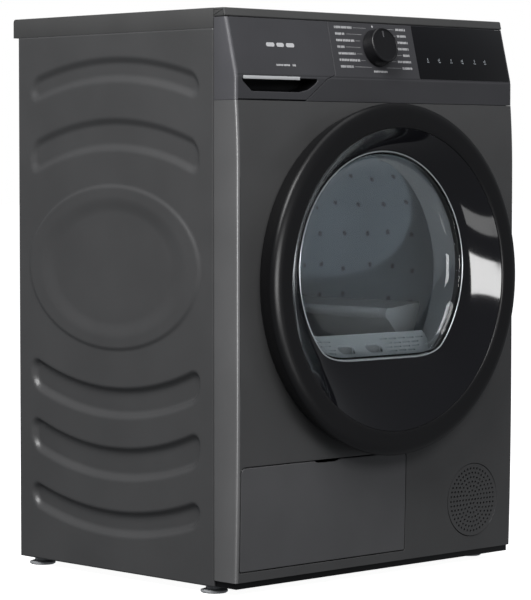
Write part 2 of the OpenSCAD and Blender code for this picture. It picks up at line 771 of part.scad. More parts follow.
module idler_pulley() color(dark) in_row() difference() {
    rod_y(idler_x, idler_z, idler_r, 218, 234);
    rod_y(idler_x, idler_z, 4 + run, 217, 235);
}

module roller(s) color(dark) in_row() difference() {
    rod_y(s * roller_x, roller_z, roller_r, bulkhead_y + 16, bulkhead_y + 28);
    rod_y(s * roller_x, roller_z, 5 + run, bulkhead_y + 15, bulkhead_y + 29);
}
module roller_left() roller(-1);
module roller_right() roller(1);

// ---------- drawer ----------
recess = [[-284, 749.6], [-284, 745], [-265, 730], [-170, 730], [-152, 734], [-138, 742], [-130, 749.6]];
module drawer_front() color(steel) in_row() difference() {
    union() {
        intersection() {
            slab_y(0, 50) polygon(drawer_points);
            slab_x(drawer_x0, drawer_x1)
                polygon([[band_y, 718], [band_y, crease_z], [slant_y(trim_z), trim_z],
                    [slant_y(trim_z) + 3, trim_z],
                    [band_y + 3, crease_z + 2], [band_y + 3, 718]]);
        }
        intersection() {
            slab_y(band_y + 2, 34)
                polygon([for (p = recess) [p[0] + (p[0] < -200 ? -2 : 2), p[1] + (p[1] > 749 ? 2 : -2)]]);
            box([-300, 5, 725], [0, 34, 753]);
        }
        box([tank_x0, 34, 738.5], [tank_x1, 37, 812]);
        for (x = [tank_x0 + 1, -201, tank_x1 - 4])
            slab_x(x, x + 3)
                polygon([[band_y + 2, 756], [slant_y(810) + 2, 810], [35, 810], [35, 751.5],
                    [band_y + 2, 751.5]]);
    }
    slab_y(0, 32) polygon(recess);
}

strip_t = 0.7;
module drawer_trim() color(zinc) in_row()
    box([-283, band_y - strip_t - 0.1, 747.6], [-170, band_y - 0.1, 752.4]);

module water_tank() color(pale) in_row() difference() {
    box([tank_x0, 37, tank_low], [tank_x1, 430, tank_high]);
    box([tank_x0 + 2, 39, tank_low + 2], [tank_x1 - 2, 428, tank_high - 2]);
    translate([-200, 400, tank_high - 5]) cylinder(r = 14, h = 10);
}

module service_flap() color(steel) in_row() difference() {
    union() {
        intersection() {
            slab_x(flap_x0, flap_x1) front_sheet(flap_z0, flap_z1, 0, 3);
            slab_y(-1, 12) {
                rounded(flap_x0, flap_x1, flap_z0, flap_z1, 8);
                rounded(flap_x0, flap_x1, flap_z0, flap_z0 + 40, 2.5);
            }
        }
        for (x = [flap_x0 + 6.5, flap_x1 - 10.5]) {
            box([x, 5, 41], [x + 4, 12, 60]);
            rod_x(flap_axis_y, flap_axis_z, 4, x, x + 4);
        }
        rod_x(flap_axis_y, flap_axis_z, 2, flap_x0 + 2, flap_x0 + 8);
        rod_x(flap_axis_y, flap_axis_z, 2, flap_x1 - 8, flap_x1 - 2);
    }
    translate([-115, -1, flap_z1 + 3]) rotate([-90, 0, 0]) cylinder(r = 5, h = 20);
    box([-136, -1, flap_z1 - 2], [-94, 20, flap_z1 + 1]);
}

module lint_filter() color(pale) in_row() difference() {
    union() {
        intersection() {
            slab_x(-filter_half, filter_half) polygon([[29, 320.6], [67, 362.2], [67, 365.7], [29, 324.1]]);
            rod_y(0, drum_z, filter_r, 20, 72);
        }
        slab_x(-110, 110) polygon([[31, 232], [51, 232], [51, 346], [31, 324]]);
    }
    slab_x(-108, 108) polygon([[33, 234], [49, 234], [49, 342.3], [33, 324.8]]);
    for (s = [-1, 1]) {
        translate([0, 47, 0]) finger_hole(s);
        for (row = [0 : 4], k = [0 : 2 + floor(row / 2)]) {
            x = s * (62 + k * 20 + row % 2 * 5);
            box([x - 8, 34 + row * 6, 300], [x + 8, 36 + row * 6, 380]);
        }
    }
}
module finger_hole(s) translate([s * 30, 0, 300]) linear_extrude(80) {
    translate([-10, 0]) circle(7);
    translate([10, 0]) circle(7);
    translate([-10, -7]) square([20, 14]);
}

module foot(i) color(zinc) in_row() translate([foot_places[i][0], foot_places[i][1], 0]) {
    rotate_extrude() polygon([[0, 0], [18, 0], [20, 1.5], [20, 4], [14, 6], [0, 6]]);
    translate([0, 0, 6]) cylinder(r = 13, h = foot_h - 6 - fit, $fn = 6);
    translate([0, 0, 6]) cylinder(r = foot_stud_r, h = 30);
}
module foot_front_left() foot(0);
module foot_front_right() foot(1);
module foot_rear_left() foot(2);
module foot_rear_right() foot(3);

base_pan();
side_panel_left();
side_panel_right();
rear_panel();
rear_cover();
worktop();
worktop_trim();
front_panel();
front_bulkhead();
rear_bulkhead();
loading_ring();
door_seal();
rear_bearing();
drive_belt();
drive_motor();
blower_housing();
compressor();
evaporator();
condenser_coil();
refrigerant_pipes();
exchanger_housing();
condensate_pump();
pump_hose();
mains_gland();
control_fascia();
display_window();
control_board();
dial_encoder();
tank_housing();
vent_grille();
hinge_bracket();
latch_plate();
panel_screws();
door_ring();
door_dish();
door_glass();
door_inner_frame();
door_hinge();
door_catch();
drum_shell();
drum_back();
drum_lifters();
drum_shaft();
rotor_shaft();
blower_wheel();
idler_arm();
idler_pulley();
roller_left();
roller_right();
dial_knob();
drawer_front();
water_tank();
drawer_trim();
service_flap();
exchanger_filter();
lint_filter();
foot_front_left();
foot_front_right();
foot_rear_left();
foot_rear_right();
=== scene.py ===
"""Looks for the clothes dryer. Lengths of the machine are in millimetres until at() or skin() turns
them into metres; y is measured back from the front panel, as in the part's source. Lamps and the
camera are placed in metres."""
import math

import bmesh
import bpy
from mathutils import Matrix, Vector
from mathutils.geometry import tessellate_polygon


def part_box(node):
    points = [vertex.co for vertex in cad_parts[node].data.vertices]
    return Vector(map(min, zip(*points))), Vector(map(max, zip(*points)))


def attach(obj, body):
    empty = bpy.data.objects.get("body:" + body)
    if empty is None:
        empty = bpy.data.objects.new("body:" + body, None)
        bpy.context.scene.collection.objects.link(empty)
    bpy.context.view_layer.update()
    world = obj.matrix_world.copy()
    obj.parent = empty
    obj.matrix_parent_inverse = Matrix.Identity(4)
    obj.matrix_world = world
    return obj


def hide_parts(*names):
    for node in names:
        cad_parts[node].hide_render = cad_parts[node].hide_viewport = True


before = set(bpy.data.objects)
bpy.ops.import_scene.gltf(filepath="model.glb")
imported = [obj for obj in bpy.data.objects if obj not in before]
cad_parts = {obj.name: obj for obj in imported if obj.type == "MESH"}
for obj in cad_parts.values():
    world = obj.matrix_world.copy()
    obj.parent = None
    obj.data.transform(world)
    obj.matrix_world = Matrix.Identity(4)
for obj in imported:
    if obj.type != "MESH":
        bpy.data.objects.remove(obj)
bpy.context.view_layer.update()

MM = 0.001
FRONT_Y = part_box("front_panel")[0].y


def at(x, y, z):
    """Row-frame point, in metres, from millimetres in the front panel's own measure."""
    return Vector((x * MM, FRONT_Y + y * MM, z * MM))


def node_box(node):
    """Lowest and highest corner of a CAD node, in millimetres in the same measure as at()."""
    low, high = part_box(node)
    shift = Vector((0, FRONT_Y, 0))
    return (low - shift) / MM, (high - shift) / MM


def centre(node):
    """Middle of a CAD node's box, in the same measure as at()."""
    low, high = node_box(node)
    return (low + high) / 2


# ---------------------------------------------------------------- sizes read from the frame
SIDE_LOW, SIDE_HIGH = node_box("side_panel_right")
PANEL_LOW, PANEL_HIGH = node_box("front_panel")
FASCIA_LOW, FASCIA_HIGH = node_box("control_fascia")
TOP_LOW, TOP_HIGH = node_box("worktop")
RING_LOW, RING_HIGH = node_box("door_ring")
GLASS_LOW, GLASS_HIGH = node_box("door_glass")
FLAP_LOW, FLAP_HIGH = node_box("service_flap")
DRAWER_LOW, DRAWER_HIGH = node_box("drawer_front")
SCREEN_LOW, SCREEN_HIGH = node_box("display_window")
DRUM_LOW, DRUM_HIGH = node_box("drum_shell")
HALF_W = SIDE_HIGH.x
RING_R = (RING_HIGH.x - RING_LOW.x) / 2
RING_Z = (RING_HIGH.z + RING_LOW.z) / 2
WINDOW_R = 178
WINDOW_Z = (GLASS_LOW.z + GLASS_HIGH.z) / 2
CHORD_Z = 331
MOUTH_R = 215
DRUM_R = (DRUM_HIGH.x - DRUM_LOW.x) / 2
DRUM_Z = (DRUM_HIGH.z + DRUM_LOW.z) / 2
SHEET = 1.5
CORNER_R = 5
CREASE_Z = 753
BAND_Y = FASCIA_LOW.y
SLANT_TOP_Y = 29
FLAT_LOW_Z, FLAT_HIGH_Z = 295, 616
LOWER_FALL, UPPER_FALL = 17100, 2410
CREASE_SOFT = 2.5
GROOVE_DEPTH, GROOVE_WIDTH = 0.5, 1.3


def smooth(t):
    """Eases from 0 to 1 while t runs from 0 to 1."""
    t = min(max(t, 0.0), 1.0)
    return t * t * (3 - 2 * t)


def fall(z):
    """How far the front panel's face lies behind its foremost plane, at height z: flat in the middle
    and falling away as a shallow parabola above and below."""
    if z > FLAT_HIGH_Z:
        return (z - FLAT_HIGH_Z) ** 2 / UPPER_FALL
    if z < FLAT_LOW_Z:
        return (FLAT_LOW_Z - z) ** 2 / LOWER_FALL
    return 0.0


SLOPE = (SLANT_TOP_Y - BAND_Y) / (TOP_HIGH.z - CREASE_Z)


def slant(z):
    """Face of the control fascia: upright below the crease, leaning back above it, with a fine
    groove along the crease."""
    soft = CREASE_SOFT
    t = z - CREASE_Z
    groove = GROOVE_DEPTH * math.exp(-(t / GROOVE_WIDTH) ** 2)
    if t < -soft:
        return BAND_Y + groove
    if t < soft:
        return BAND_Y + SLOPE * (t + soft) ** 2 / (4 * soft) + groove
    return BAND_Y + SLOPE * t + groove


# ---------------------------------------------------------------- materials
def new_material(name):
    """Empty material with one Principled shader wired to its output."""
    mat = bpy.data.materials.new(name)
    mat.use_nodes = True
    tree = mat.node_tree
    tree.nodes.clear()
    out = tree.nodes.new("ShaderNodeOutputMaterial")
    shader = tree.nodes.new("ShaderNodeBsdfPrincipled")
    tree.links.new(shader.outputs[0], out.inputs[0])
    return mat, tree, shader


def noise(tree, scale, detail=4.0, stretch=None):
    """Noise texture in object space; stretch is a per-axis scale."""
    coords = tree.nodes.new("ShaderNodeTexCoord")
    tex = tree.nodes.new("ShaderNodeTexNoise")
    tex.inputs["Scale"].default_value = scale
    tex.inputs["Detail"].default_value = detail
    source = coords.outputs["Object"]
    if stretch:
        mapping = tree.nodes.new("ShaderNodeMapping")
        mapping.inputs["Scale"].default_value = stretch
        tree.links.new(source, mapping.inputs[0])
        source = mapping.outputs[0]
    tree.links.new(source, tex.inputs["Vector"])
    return tex.outputs["Fac"]


def ranged(tree, value, low, high):
    """Maps a 0.3 to 0.7 noise onto low to high."""
    node = tree.nodes.new("ShaderNodeMapRange")
    node.inputs["From Min"].default_value = 0.3
    node.inputs["From Max"].default_value = 0.7
    node.inputs["To Min"].default_value = low
    node.inputs["To Max"].default_value = high
    tree.links.new(value, node.inputs["Value"])
    return node.outputs[0]


def tinted(tree, value, dark, light):
    """Blends two colours by a 0 to 1 value, over its middle third."""
    ramp = tree.nodes.new("ShaderNodeValToRGB")
    ramp.color_ramp.elements[0].position = 0.35
    ramp.color_ramp.elements[1].position = 0.65
    ramp.color_ramp.elements[0].color = (*dark, 1)
    ramp.color_ramp.elements[1].color = (*light, 1)
    tree.links.new(value, ramp.inputs[0])
    return ramp.outputs[0]


def surface(name, colour, rough, grain=1200.0, bump=0.02, vary=0.06, metal=0.0, spec=0.5,
            stretch=None, rough_vary=0.06):
    """Solid finish with a fine grain, a slow tone drift and a roughness that varies with it."""
    mat, tree, shader = new_material(name)
    drift = noise(tree, 9.0, 5.0)
    dark = [c * (1 - vary) for c in colour]
    light = [c * (1 + vary) for c in colour]
    tree.links.new(tinted(tree, drift, dark, light), shader.inputs["Base Color"])
    fine = noise(tree, grain, 3.0, stretch)
    tree.links.new(ranged(tree, fine, rough - rough_vary, rough + rough_vary), shader.inputs["Roughness"])
    shader.inputs["Metallic"].default_value = metal
    shader.inputs["Specular IOR Level"].default_value = spec
    lump = tree.nodes.new("ShaderNodeBump")
    lump.inputs["Strength"].default_value = bump
    lump.inputs["Distance"].default_value = 0.0004
    tree.links.new(fine, lump.inputs["Height"])
    tree.links.new(lump.outputs[0], shader.inputs["Normal"])
    return mat


def glass_material(name, tint, rough):
    """Clear tinted glass."""
    mat, tree, shader = new_material(name)
    shader.inputs["Base Color"].default_value = (*tint, 1)
    shader.inputs["Transmission Weight"].default_value = 1.0
    shader.inputs["IOR"].default_value = 1.3
    tree.links.new(ranged(tree, noise(tree, 40.0), rough, rough + 0.01), shader.inputs["Roughness"])
    return mat


PAINT = surface("painted_steel", (0.058, 0.058, 0.059), 0.33, grain=1600, bump=0.03)
LIFTER = surface("lifter_plastic", (0.215, 0.232, 0.25), 0.45, grain=1500, bump=0.04)
FLAP_PAINT = surface("flap_paint", (0.078, 0.078, 0.081), 0.33, grain=1600, bump=0.03)
FASCIA = surface("fascia_plastic", (0.044, 0.044, 0.048), 0.36, grain=2400, bump=0.04, spec=0.35)
WORKTOP = surface("worktop_laminate", (0.058, 0.058, 0.058), 0.45, grain=1800, bump=0.04, spec=0.3)
BLACK = surface("black_plastic", (0.004, 0.004, 0.0045), 0.34, grain=1800, bump=0.02, spec=0.25)
GLOSS = surface("gloss_black", (0.0025, 0.0025, 0.0035), 0.07, grain=300, bump=0.0, rough_vary=0.01)
DIAL = surface("dial_finish", (0.006, 0.006, 0.007), 0.30, grain=2600, bump=0.03, spec=0.4)
ZINC = surface("galvanised_steel", (0.42, 0.43, 0.45), 0.38, grain=60, bump=0.05, metal=1.0, vary=0.12)
BRIGHT = surface("bright_steel", (0.55, 0.55, 0.56), 0.25, grain=700, bump=0.03, metal=1.0)
PALE = surface("pale_plastic", (0.19, 0.205, 0.22), 0.45, grain=1500, bump=0.04)
TANK = surface("tank_plastic", (0.62, 0.66, 0.68), 0.35, grain=900, bump=0.03)
MOUTH = surface("mouth_plastic", (0.085, 0.092, 0.10), 0.40, grain=1500, bump=0.03)
POINTER = surface("pointer_mark", (0.09, 0.09, 0.095), 0.5, grain=1500, bump=0.02)
RUBBER = surface("rubber_black", (0.012, 0.012, 0.012), 0.75, grain=1400, bump=0.08, spec=0.2)
NYLON = surface("idler_nylon", (0.04, 0.04, 0.045), 0.5, grain=900, bump=0.04)
MOTOR = surface("motor_paint", (0.08, 0.085, 0.09), 0.4, grain=700, bump=0.05)
ENAMEL = surface("compressor_enamel", (0.01, 0.01, 0.01), 0.3, grain=400, bump=0.05)
FINS = surface("fin_aluminium", (0.62, 0.63, 0.65), 0.35, grain=800, bump=0.05, metal=1.0)
ANODISED = surface("trim_aluminium", (0.60, 0.61, 0.62), 0.35, grain=1400, bump=0.04, metal=0.3,
                   stretch=(0.05, 1, 1))
COPPER = surface("copper_pipe", (0.62, 0.30, 0.17), 0.3, grain=300, bump=0.05, metal=1.0, vary=0.15)
BOARD = surface("board_green", (0.02, 0.11, 0.05), 0.35, grain=900, bump=0.05)
FOOT = surface("foot_nylon", (0.33, 0.34, 0.35), 0.5, grain=900, bump=0.06)
PRINT = surface("printed_mark", (0.44, 0.44, 0.45), 0.5, grain=1500, bump=0.02)
SCREEN_MARK = surface("screen_mark", (0.20, 0.215, 0.23), 0.5, grain=1500, bump=0.02)
# light grey bead colour: partly a painted highlight standing for the bright edge of the glass
BEAD_HIGHLIGHT = surface("polished_edge_painted_highlight", (0.42, 0.45, 0.47), 0.22, grain=900, bump=0.01, metal=0.6)
GLASS = glass_material("clear_glass", (0.93, 0.97, 0.98), 0.0)


def math_node(tree, kind, first, second):
    """Math node on two inputs, each a socket or a number."""
    node = tree.nodes.new("ShaderNodeMath")
    node.operation = kind
    for slot, value in enumerate((first, second)):
        if isinstance(value, (int, float)):
            node.inputs[slot].default_value = value
        else:
            tree.links.new(value, node.inputs[slot])
    return node.outputs[0]


def drum_material():
    """Brushed steel with rows of small dark dots round the drum: painted shade standing for pressed dimples,
    which the surface itself does not have.
    """
    mat, tree, shader = new_material("drum_steel_dimple_shade")
    place = tree.nodes.new("ShaderNodeTexCoord")
    split = tree.nodes.new("ShaderNodeSeparateXYZ")
    tree.links.new(place.outputs["Object"], split.inputs[0])
    height = math_node(tree, "SUBTRACT", split.outputs["Z"], DRUM_Z * MM)
    turn = math_node(tree, "MULTIPLY", math_node(tree, "ARCTAN2", split.outputs["X"], height), DRUM_R * MM)
    flat = tree.nodes.new("ShaderNodeCombineXYZ")
    tree.links.new(turn, flat.inputs["X"])
    tree.links.new(split.outputs["Y"], flat.inputs["Y"])
    cells = tree.nodes.new("ShaderNodeTexVoronoi")
    cells.voronoi_dimensions = "2D"
    cells.inputs["Scale"].default_value = 19
    cells.inputs["Randomness"].default_value = 0.25
    tree.links.new(flat.outputs[0], cells.inputs["Vector"])
    # painted shade of the dimples: near each cell's middle the colour turns dark
    dot = tree.nodes.new("ShaderNodeMapRange")
    dot.inputs["From Min"].default_value = 0.06
    dot.inputs["From Max"].default_value = 0.11
    tree.links.new(cells.outputs["Distance"], dot.inputs["Value"])
    drift = noise(tree, 7.0, 4.0)
    base = tinted(tree, drift, (0.080, 0.099, 0.115), (0.094, 0.115, 0.133))
    mix = tree.nodes.new("ShaderNodeMix")
    mix.data_type = "RGBA"
    tree.links.new(dot.outputs[0], mix.inputs["Factor"])
    mix.inputs["A"].default_value = (0.025, 0.03, 0.036, 1)
    tree.links.new(base, mix.inputs["B"])
    tree.links.new(mix.outputs["Result"], shader.inputs["Base Color"])
    tree.links.new(ranged(tree, noise(tree, 30.0, 3.0), 0.34, 0.44), shader.inputs["Roughness"])
    shader.inputs["Metallic"].default_value = 0.3
    return mat


def filter_shade_material():
    """Pale plastic with painted shade: an ambient occlusion mask darkens its colour inside the slots."""
    mat, tree, shader = new_material("filter_plastic_painted_shade")
    # painted shade: the colour turns near black where the occlusion finds the slots' hollows
    hollow = tree.nodes.new("ShaderNodeAmbientOcclusion")
    hollow.inputs["Distance"].default_value = 0.012
    hollow.samples = 8
    painted_shade_mask = ranged(tree, hollow.outputs["AO"], 0.0, 1.0)
    colour = tinted(tree, painted_shade_mask, (0.010, 0.011, 0.013), (0.155, 0.168, 0.18))
    tree.links.new(colour, shader.inputs["Base Color"])
    tree.links.new(ranged(tree, noise(tree, 900.0, 3.0), 0.40, 0.50), shader.inputs["Roughness"])
    return mat


DRUM_STEEL_DIMPLE_SHADE = drum_material()
FILTER_SHADED = filter_shade_material()

NODE_LOOKS = {
    "base_pan": BLACK, "side_panel_left": PAINT, "side_panel_right": PAINT, "rear_panel": ZINC,
    "rear_cover": ZINC, "worktop": WORKTOP, "worktop_trim": WORKTOP, "front_panel": PAINT,
    "front_bulkhead": ZINC, "rear_bulkhead": ZINC, "loading_ring": MOUTH, "door_seal": RUBBER,
    "rear_bearing": BRIGHT, "drive_belt": RUBBER, "drive_motor": MOTOR, "blower_housing": BLACK,
    "compressor": ENAMEL, "evaporator": FINS, "condenser_coil": FINS, "refrigerant_pipes": COPPER,
    "exchanger_housing": BLACK, "condensate_pump": BLACK, "pump_hose": RUBBER, "mains_gland": BLACK,
    "control_fascia": FASCIA, "display_window": GLOSS, "control_board": BOARD, "dial_encoder": BLACK,
    "tank_housing": BLACK, "vent_grille": PAINT, "hinge_bracket": ZINC, "latch_plate": ZINC,
    "panel_screws": BRIGHT, "door_ring": BLACK, "door_dish": GLOSS, "door_glass": GLASS,
    "door_inner_frame": BLACK, "door_hinge": BRIGHT, "door_catch": BRIGHT, "drum_shell": DRUM_STEEL_DIMPLE_SHADE,
    "drum_back": DRUM_STEEL_DIMPLE_SHADE, "drum_lifters": LIFTER, "drum_shaft": BRIGHT, "rotor_shaft": BRIGHT,
    "blower_wheel": BLACK, "idler_arm": ZINC, "idler_pulley": NYLON, "roller_left": RUBBER,
    "roller_right": RUBBER, "dial_knob": DIAL, "drawer_front": FASCIA, "water_tank": TANK,
    "drawer_trim": ANODISED, "service_flap": PAINT, "exchanger_filter": PALE, "lint_filter": FILTER_SHADED,
    "foot_front_left": FOOT, "foot_front_right": FOOT, "foot_rear_left": FOOT, "foot_rear_right": FOOT,
}


def smoothing_group():
    """Geometry nodes that smooth every edge under 32 degrees and keep the rest sharp."""
    group = bpy.data.node_groups.new("smooth_by_angle", "GeometryNodeTree")
    group.interface.new_socket("Geometry", in_out="INPUT", socket_type="NodeSocketGeometry")
    group.interface.new_socket("Geometry", in_out="OUTPUT", socket_type="NodeSocketGeometry")
    nodes, links = group.nodes, group.links
    start, end = nodes.new("NodeGroupInput"), nodes.new("NodeGroupOutput")
    faces = nodes.new("GeometryNodeSetShadeSmooth")
    faces.domain = "FACE"
    edges = nodes.new("GeometryNodeSetShadeSmooth")
    edges.domain = "EDGE"
    angle = nodes.new("GeometryNodeInputMeshEdgeAngle")
    compare = nodes.new("FunctionNodeCompare")
    compare.operation = "LESS_THAN"
    compare.inputs["B"].default_value = math.radians(32)
    links.new(start.outputs[0], faces.inputs["Geometry"])
    links.new(faces.outputs[0], edges.inputs["Geometry"])
    links.new(angle.outputs["Unsigned Angle"], compare.inputs["A"])
    links.new(compare.outputs[0], edges.inputs["Shade Smooth"])
    links.new(edges.outputs[0], end.inputs[0])
    return group


SMOOTHING = smoothing_group()


def soften(obj, bevel=0.0):
    """Welds split corners, rounds sharp edges by bevel millimetres and smooths the shading."""
    weld = obj.modifiers.new("weld", "WELD")
    weld.merge_threshold = 0.00001
    if bevel:
        rounding = obj.modifiers.new("rounding", "BEVEL")
        rounding.width = bevel * MM
        rounding.segments = 2
        rounding.limit_method = "ANGLE"
        rounding.angle_limit = math.radians(35)
        rounding.use_clamp_overlap = True
        rounding.harden_normals = False
    smoothing = obj.modifiers.new("smoothing", "NODES")
    smoothing.node_group = SMOOTHING


BEVELLED = {"worktop": 1.2, "worktop_trim": 1.0, "base_pan": 0.8, "drawer_trim": 0.3,
            "display_window": 0.4, "foot_front_left": 0.8, "foot_front_right": 0.8,
            "foot_rear_left": 0.8, "foot_rear_right": 0.8, "water_tank": 0.8, "drum_lifters": 2.0}
for node_name, node_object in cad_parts.items():
    for slot_index in range(max(1, len(node_object.data.materials))):
        if len(node_object.material_slots) > slot_index:
            node_object.material_slots[slot_index].material = NODE_LOOKS[node_name]
    if not node_object.data.materials:
        node_object.data.materials.append(NODE_LOOKS[node_name])
    soften(node_object, BEVELLED.get(node_name, 0))


# ---------------------------------------------------------------- mesh helpers
def skin(name, verts, faces, mat, body, replaces=(), sharp=32.0):
    """New piece from millimetre points; it rides on a CAD body and may stand for CAD nodes."""
    mesh = bpy.data.meshes.new(name)
    mesh.from_pydata([at(*v) for v in verts], [], faces)
    mesh.validate()
    made = bmesh.new()
    made.from_mesh(mesh)
    bmesh.ops.remove_doubles(made, verts=made.verts, dist=0.000005)
    bmesh.ops.recalc_face_normals(made, faces=made.faces)
    made.to_mesh(mesh)
    made.free()
    mesh.shade_smooth()
    mesh.set_sharp_from_angle(angle=math.radians(sharp))
    obj = bpy.data.objects.new(name, mesh)
    bpy.context.scene.collection.objects.link(obj)
    mesh.materials.append(mat)
    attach(obj, body)
    if replaces:
        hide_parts(*replaces)
    return obj


def weighted(obj):
    """Lets the large faces set the shading, so that flats next to small radii stay flat."""
    obj.modifiers.new("flats", "WEIGHTED_NORMAL").keep_sharp = True
    return obj


def lathe_points(outline, cx, cz, sides):
    """Rings of points turned about a y axis through (cx, cz); outline holds (radius, y)."""
    rows = []
    for radius, y in outline:
        rows.append([(cx + radius * math.cos(math.radians(360.0 * i / sides)), y,
                      cz + radius * math.sin(math.radians(360.0 * i / sides))) for i in range(sides)])
    return rows


def grid_faces(rows, cols, wrap_cols=True, wrap_rows=False):
    """Quads over a grid of points, closed round on either side."""
    faces = []
    for r in range(rows if wrap_rows else rows - 1):
        for c in range(cols if wrap_cols else cols - 1):
            a, b = r * cols, ((r + 1) % rows) * cols
            d = (c + 1) % cols
            faces.append((a + c, b + c, b + d, a + d))
    return faces


def turned(name, outline, cx, cz, mat, body, replaces=(), sides=160, closed=False, sharp=32.0):
    """Skin turned about a y axis; closed joins the outline's end to its start."""
    rows = lathe_points(outline, cx, cz, sides)
    verts = [p for row in rows for p in row]
    return skin(name, verts, grid_faces(len(rows), sides, True, closed), mat, body, replaces, sharp)


def arc(cx, cy, r, a0, a1, n):
    """Points of an arc from angle a0 to a1, in degrees."""
    return [(cx + r * math.cos(math.radians(a0 + (a1 - a0) * i / n)),
             cy + r * math.sin(math.radians(a0 + (a1 - a0) * i / n))) for i in range(n + 1)]


def rounded_rect(x0, x1, z0, z1, r, n=6, low_r=None):
    """Rectangle with rounded corners; the lower two may have a radius of their own."""
    low = r if low_r is None else low_r
    return (arc(x1 - r, z1 - r, r, 0, 90, n) + arc(x0 + r, z1 - r, r, 90, 180, n)
            + arc(x0 + low, z0 + low, low, 180, 270, n) + arc(x1 - low, z0 + low, low, 270, 360, n))


def signed_area(loop):
    """Area of a loop, positive when it runs anticlockwise."""
    return sum(a[0] * b[1] - b[0] * a[1] for a, b in zip(loop, loop[1:] + loop[:1])) / 2


def dense(loop, step=12.0):
    """The same outline with points added along its long straight sides."""
    out = []
    for a, b in zip(loop, loop[1:] + loop[:1]):
        length = math.dist(a, b)
        count = max(1, int(length / step))
        out += [(a[0] + (b[0] - a[0]) * i / count, a[1] + (b[1] - a[1]) * i / count) for i in range(count)]
    return out


def outward(loop):
    """Unit-ish vectors pointing out of the material at each corner of a loop, mitred."""
    result = []
    count = len(loop)
    for i in range(count):
        p, q, r = Vector(loop[i - 1]), Vector(loop[i]), Vector(loop[(i + 1) % count])
        n1 = Vector(((q - p).y, -(q - p).x)).normalized()
        n2 = Vector(((r - q).y, -(r - q).x)).normalized()
        mid = (n1 + n2)
        if mid.length < 1e-6:
            mid = n1
        mid.normalize()
        result.append(mid / max(0.6, mid.dot(n1)))
    return result


EDGE_STEPS = 4


def plate(name, loops, depth, face, mat, body, replaces=(), levels=()):
    """Sheet or moulding with a rounded front edge. loops is a list of (points, edge radius): the
    first is the outline and the rest are holes. face(z) is how far back its front lies."""
    made = bmesh.new()
    fronts, backs = [], []
    for index, (points, edge) in enumerate(loops):
        points = list(points)
        if (signed_area(points) > 0) != (index == 0):
            points.reverse()
        normals = outward(points)
        rings = []
        for k in range(EDGE_STEPS + 1):
            theta = math.radians(90 * k / EDGE_STEPS)
            inset, y = edge * (1 - math.sin(theta)), edge * (1 - math.cos(theta))
            rings.append([made.verts.new((p[0] - n.x * inset, y, p[1] - n.y * inset))
                          for p, n in zip(points, normals)])
        rings.append([made.verts.new((p[0], depth, p[1])) for p in points])
        for ring_a, ring_b in zip(rings, rings[1:]):
            for i in range(len(points)):
                j = (i + 1) % len(points)
                made.faces.new((ring_a[i], ring_b[i], ring_b[j], ring_a[j]))
        fronts.append(rings[0])
        backs.append(rings[-1])
    for caps in (fronts, backs):
        flat = [v for ring in caps for v in ring]
        for tri in tessellate_polygon([[Vector((v.co.x, v.co.z, 0)) for v in ring] for ring in caps]):
            try:
                made.faces.new([flat[i] for i in tri])
            except ValueError:
                pass
    for level in levels:
        bmesh.ops.bisect_plane(made, geom=made.verts[:] + made.edges[:] + made.faces[:],
                               plane_co=(0, 0, level), plane_no=(0, 0, 1), dist=0.0001)
    verts = [(v.co.x, v.co.y + face(v.co.z), v.co.z) for v in made.verts]
    made.verts.index_update()
    faces = [[v.index for v in f.verts] for f in made.faces]
    made.free()
    return weighted(skin(name, verts, faces, mat, body, replaces))


def spaced(low, high, step):
    """Even levels between low and high, about step apart, without the ends."""
    count = max(1, int((high - low) / step))
    return [low + (high - low) * i / count for i in range(1, count)]


def filleted(points, radius, n=5):
    """Closed outline with every corner rounded."""
    out = []
    for i, point in enumerate(points):
        a, b, c = Vector(points[i - 1]), Vector(point), Vector(points[(i + 1) % len(points)])
        u, v = (a - b).normalized(), (c - b).normalized()
        half = u.angle(v) / 2
        reach = min(radius / math.tan(half), 0.48 * (a - b).length, 0.48 * (c - b).length)
        r = reach * math.tan(half)
        middle = b + (u + v).normalized() * (r / math.sin(half))
        start, end = b + u * reach - middle, b + v * reach - middle
        turn = start.angle_signed(end)
        for k in range(n + 1):
            out.append(tuple(middle + Matrix.Rotation(-turn * k / n, 2) @ start))
    return out


def loft(name, rings, mat, body, replaces=(), cap_start=False, cap_end=False, sharp=32.0):
    """Skin over rings of equal point counts, each ring closed."""
    count = len(rings[0])
    verts = [p for ring in rings for p in ring]
    faces = grid_faces(len(rings), count)
    if cap_start:
        faces.append(list(range(count - 1, -1, -1)))
    if cap_end:
        faces.append([(len(rings) - 1) * count + i for i in range(count)])
    return skin(name, verts, faces, mat, body, replaces, sharp)


def shrunk(loop, inset):
    """The loop moved inwards by inset."""
    return [(p[0] - n.x * inset, p[1] - n.y * inset) for p, n in zip(loop, outward(loop))]


def counter(loop):
    """The loop, made to run anticlockwise."""
    return list(loop) if signed_area(loop) > 0 else list(reversed(loop))


def cup(name, loop, face, back, taper, mat, body):
    """Open-fronted hollow behind an outline: its walls close in by taper towards a flat back."""
    loop = counter(loop)
    rings = [[(x, face(z) + 0.9, z) for x, z in loop],
             [(x, back - 4, z) for x, z in shrunk(loop, taper * 0.6)],
             [(x, back - 1.2, z) for x, z in shrunk(loop, taper)],
             [(x, back, z) for x, z in shrunk(loop, taper + 3)]]
    return loft(name, rings, mat, body, cap_end=True)


def circle(cx, cz, r, n=96):
    """Closed loop of n points."""
    return arc(cx, cz, r, 0, 360 * (n - 1) / n, n - 1)


# ---------------------------------------------------------------- side panels with pressed shapes
EMBOSS_MID = 275
EMBOSS_HALF = 196
# height of the middle, rise of the bow over its half width, and width of each pressed band
BANDS = [(767, 31, 41), (670, 39, 52), (266, -40, 49), (174, -38, 52), (83.5, -33, 41)]
BAND_CORNER_R = 22
UPPER_PRESS, LOWER_PRESS = 5.5, 8.0
PRESS_SLOPE = 13
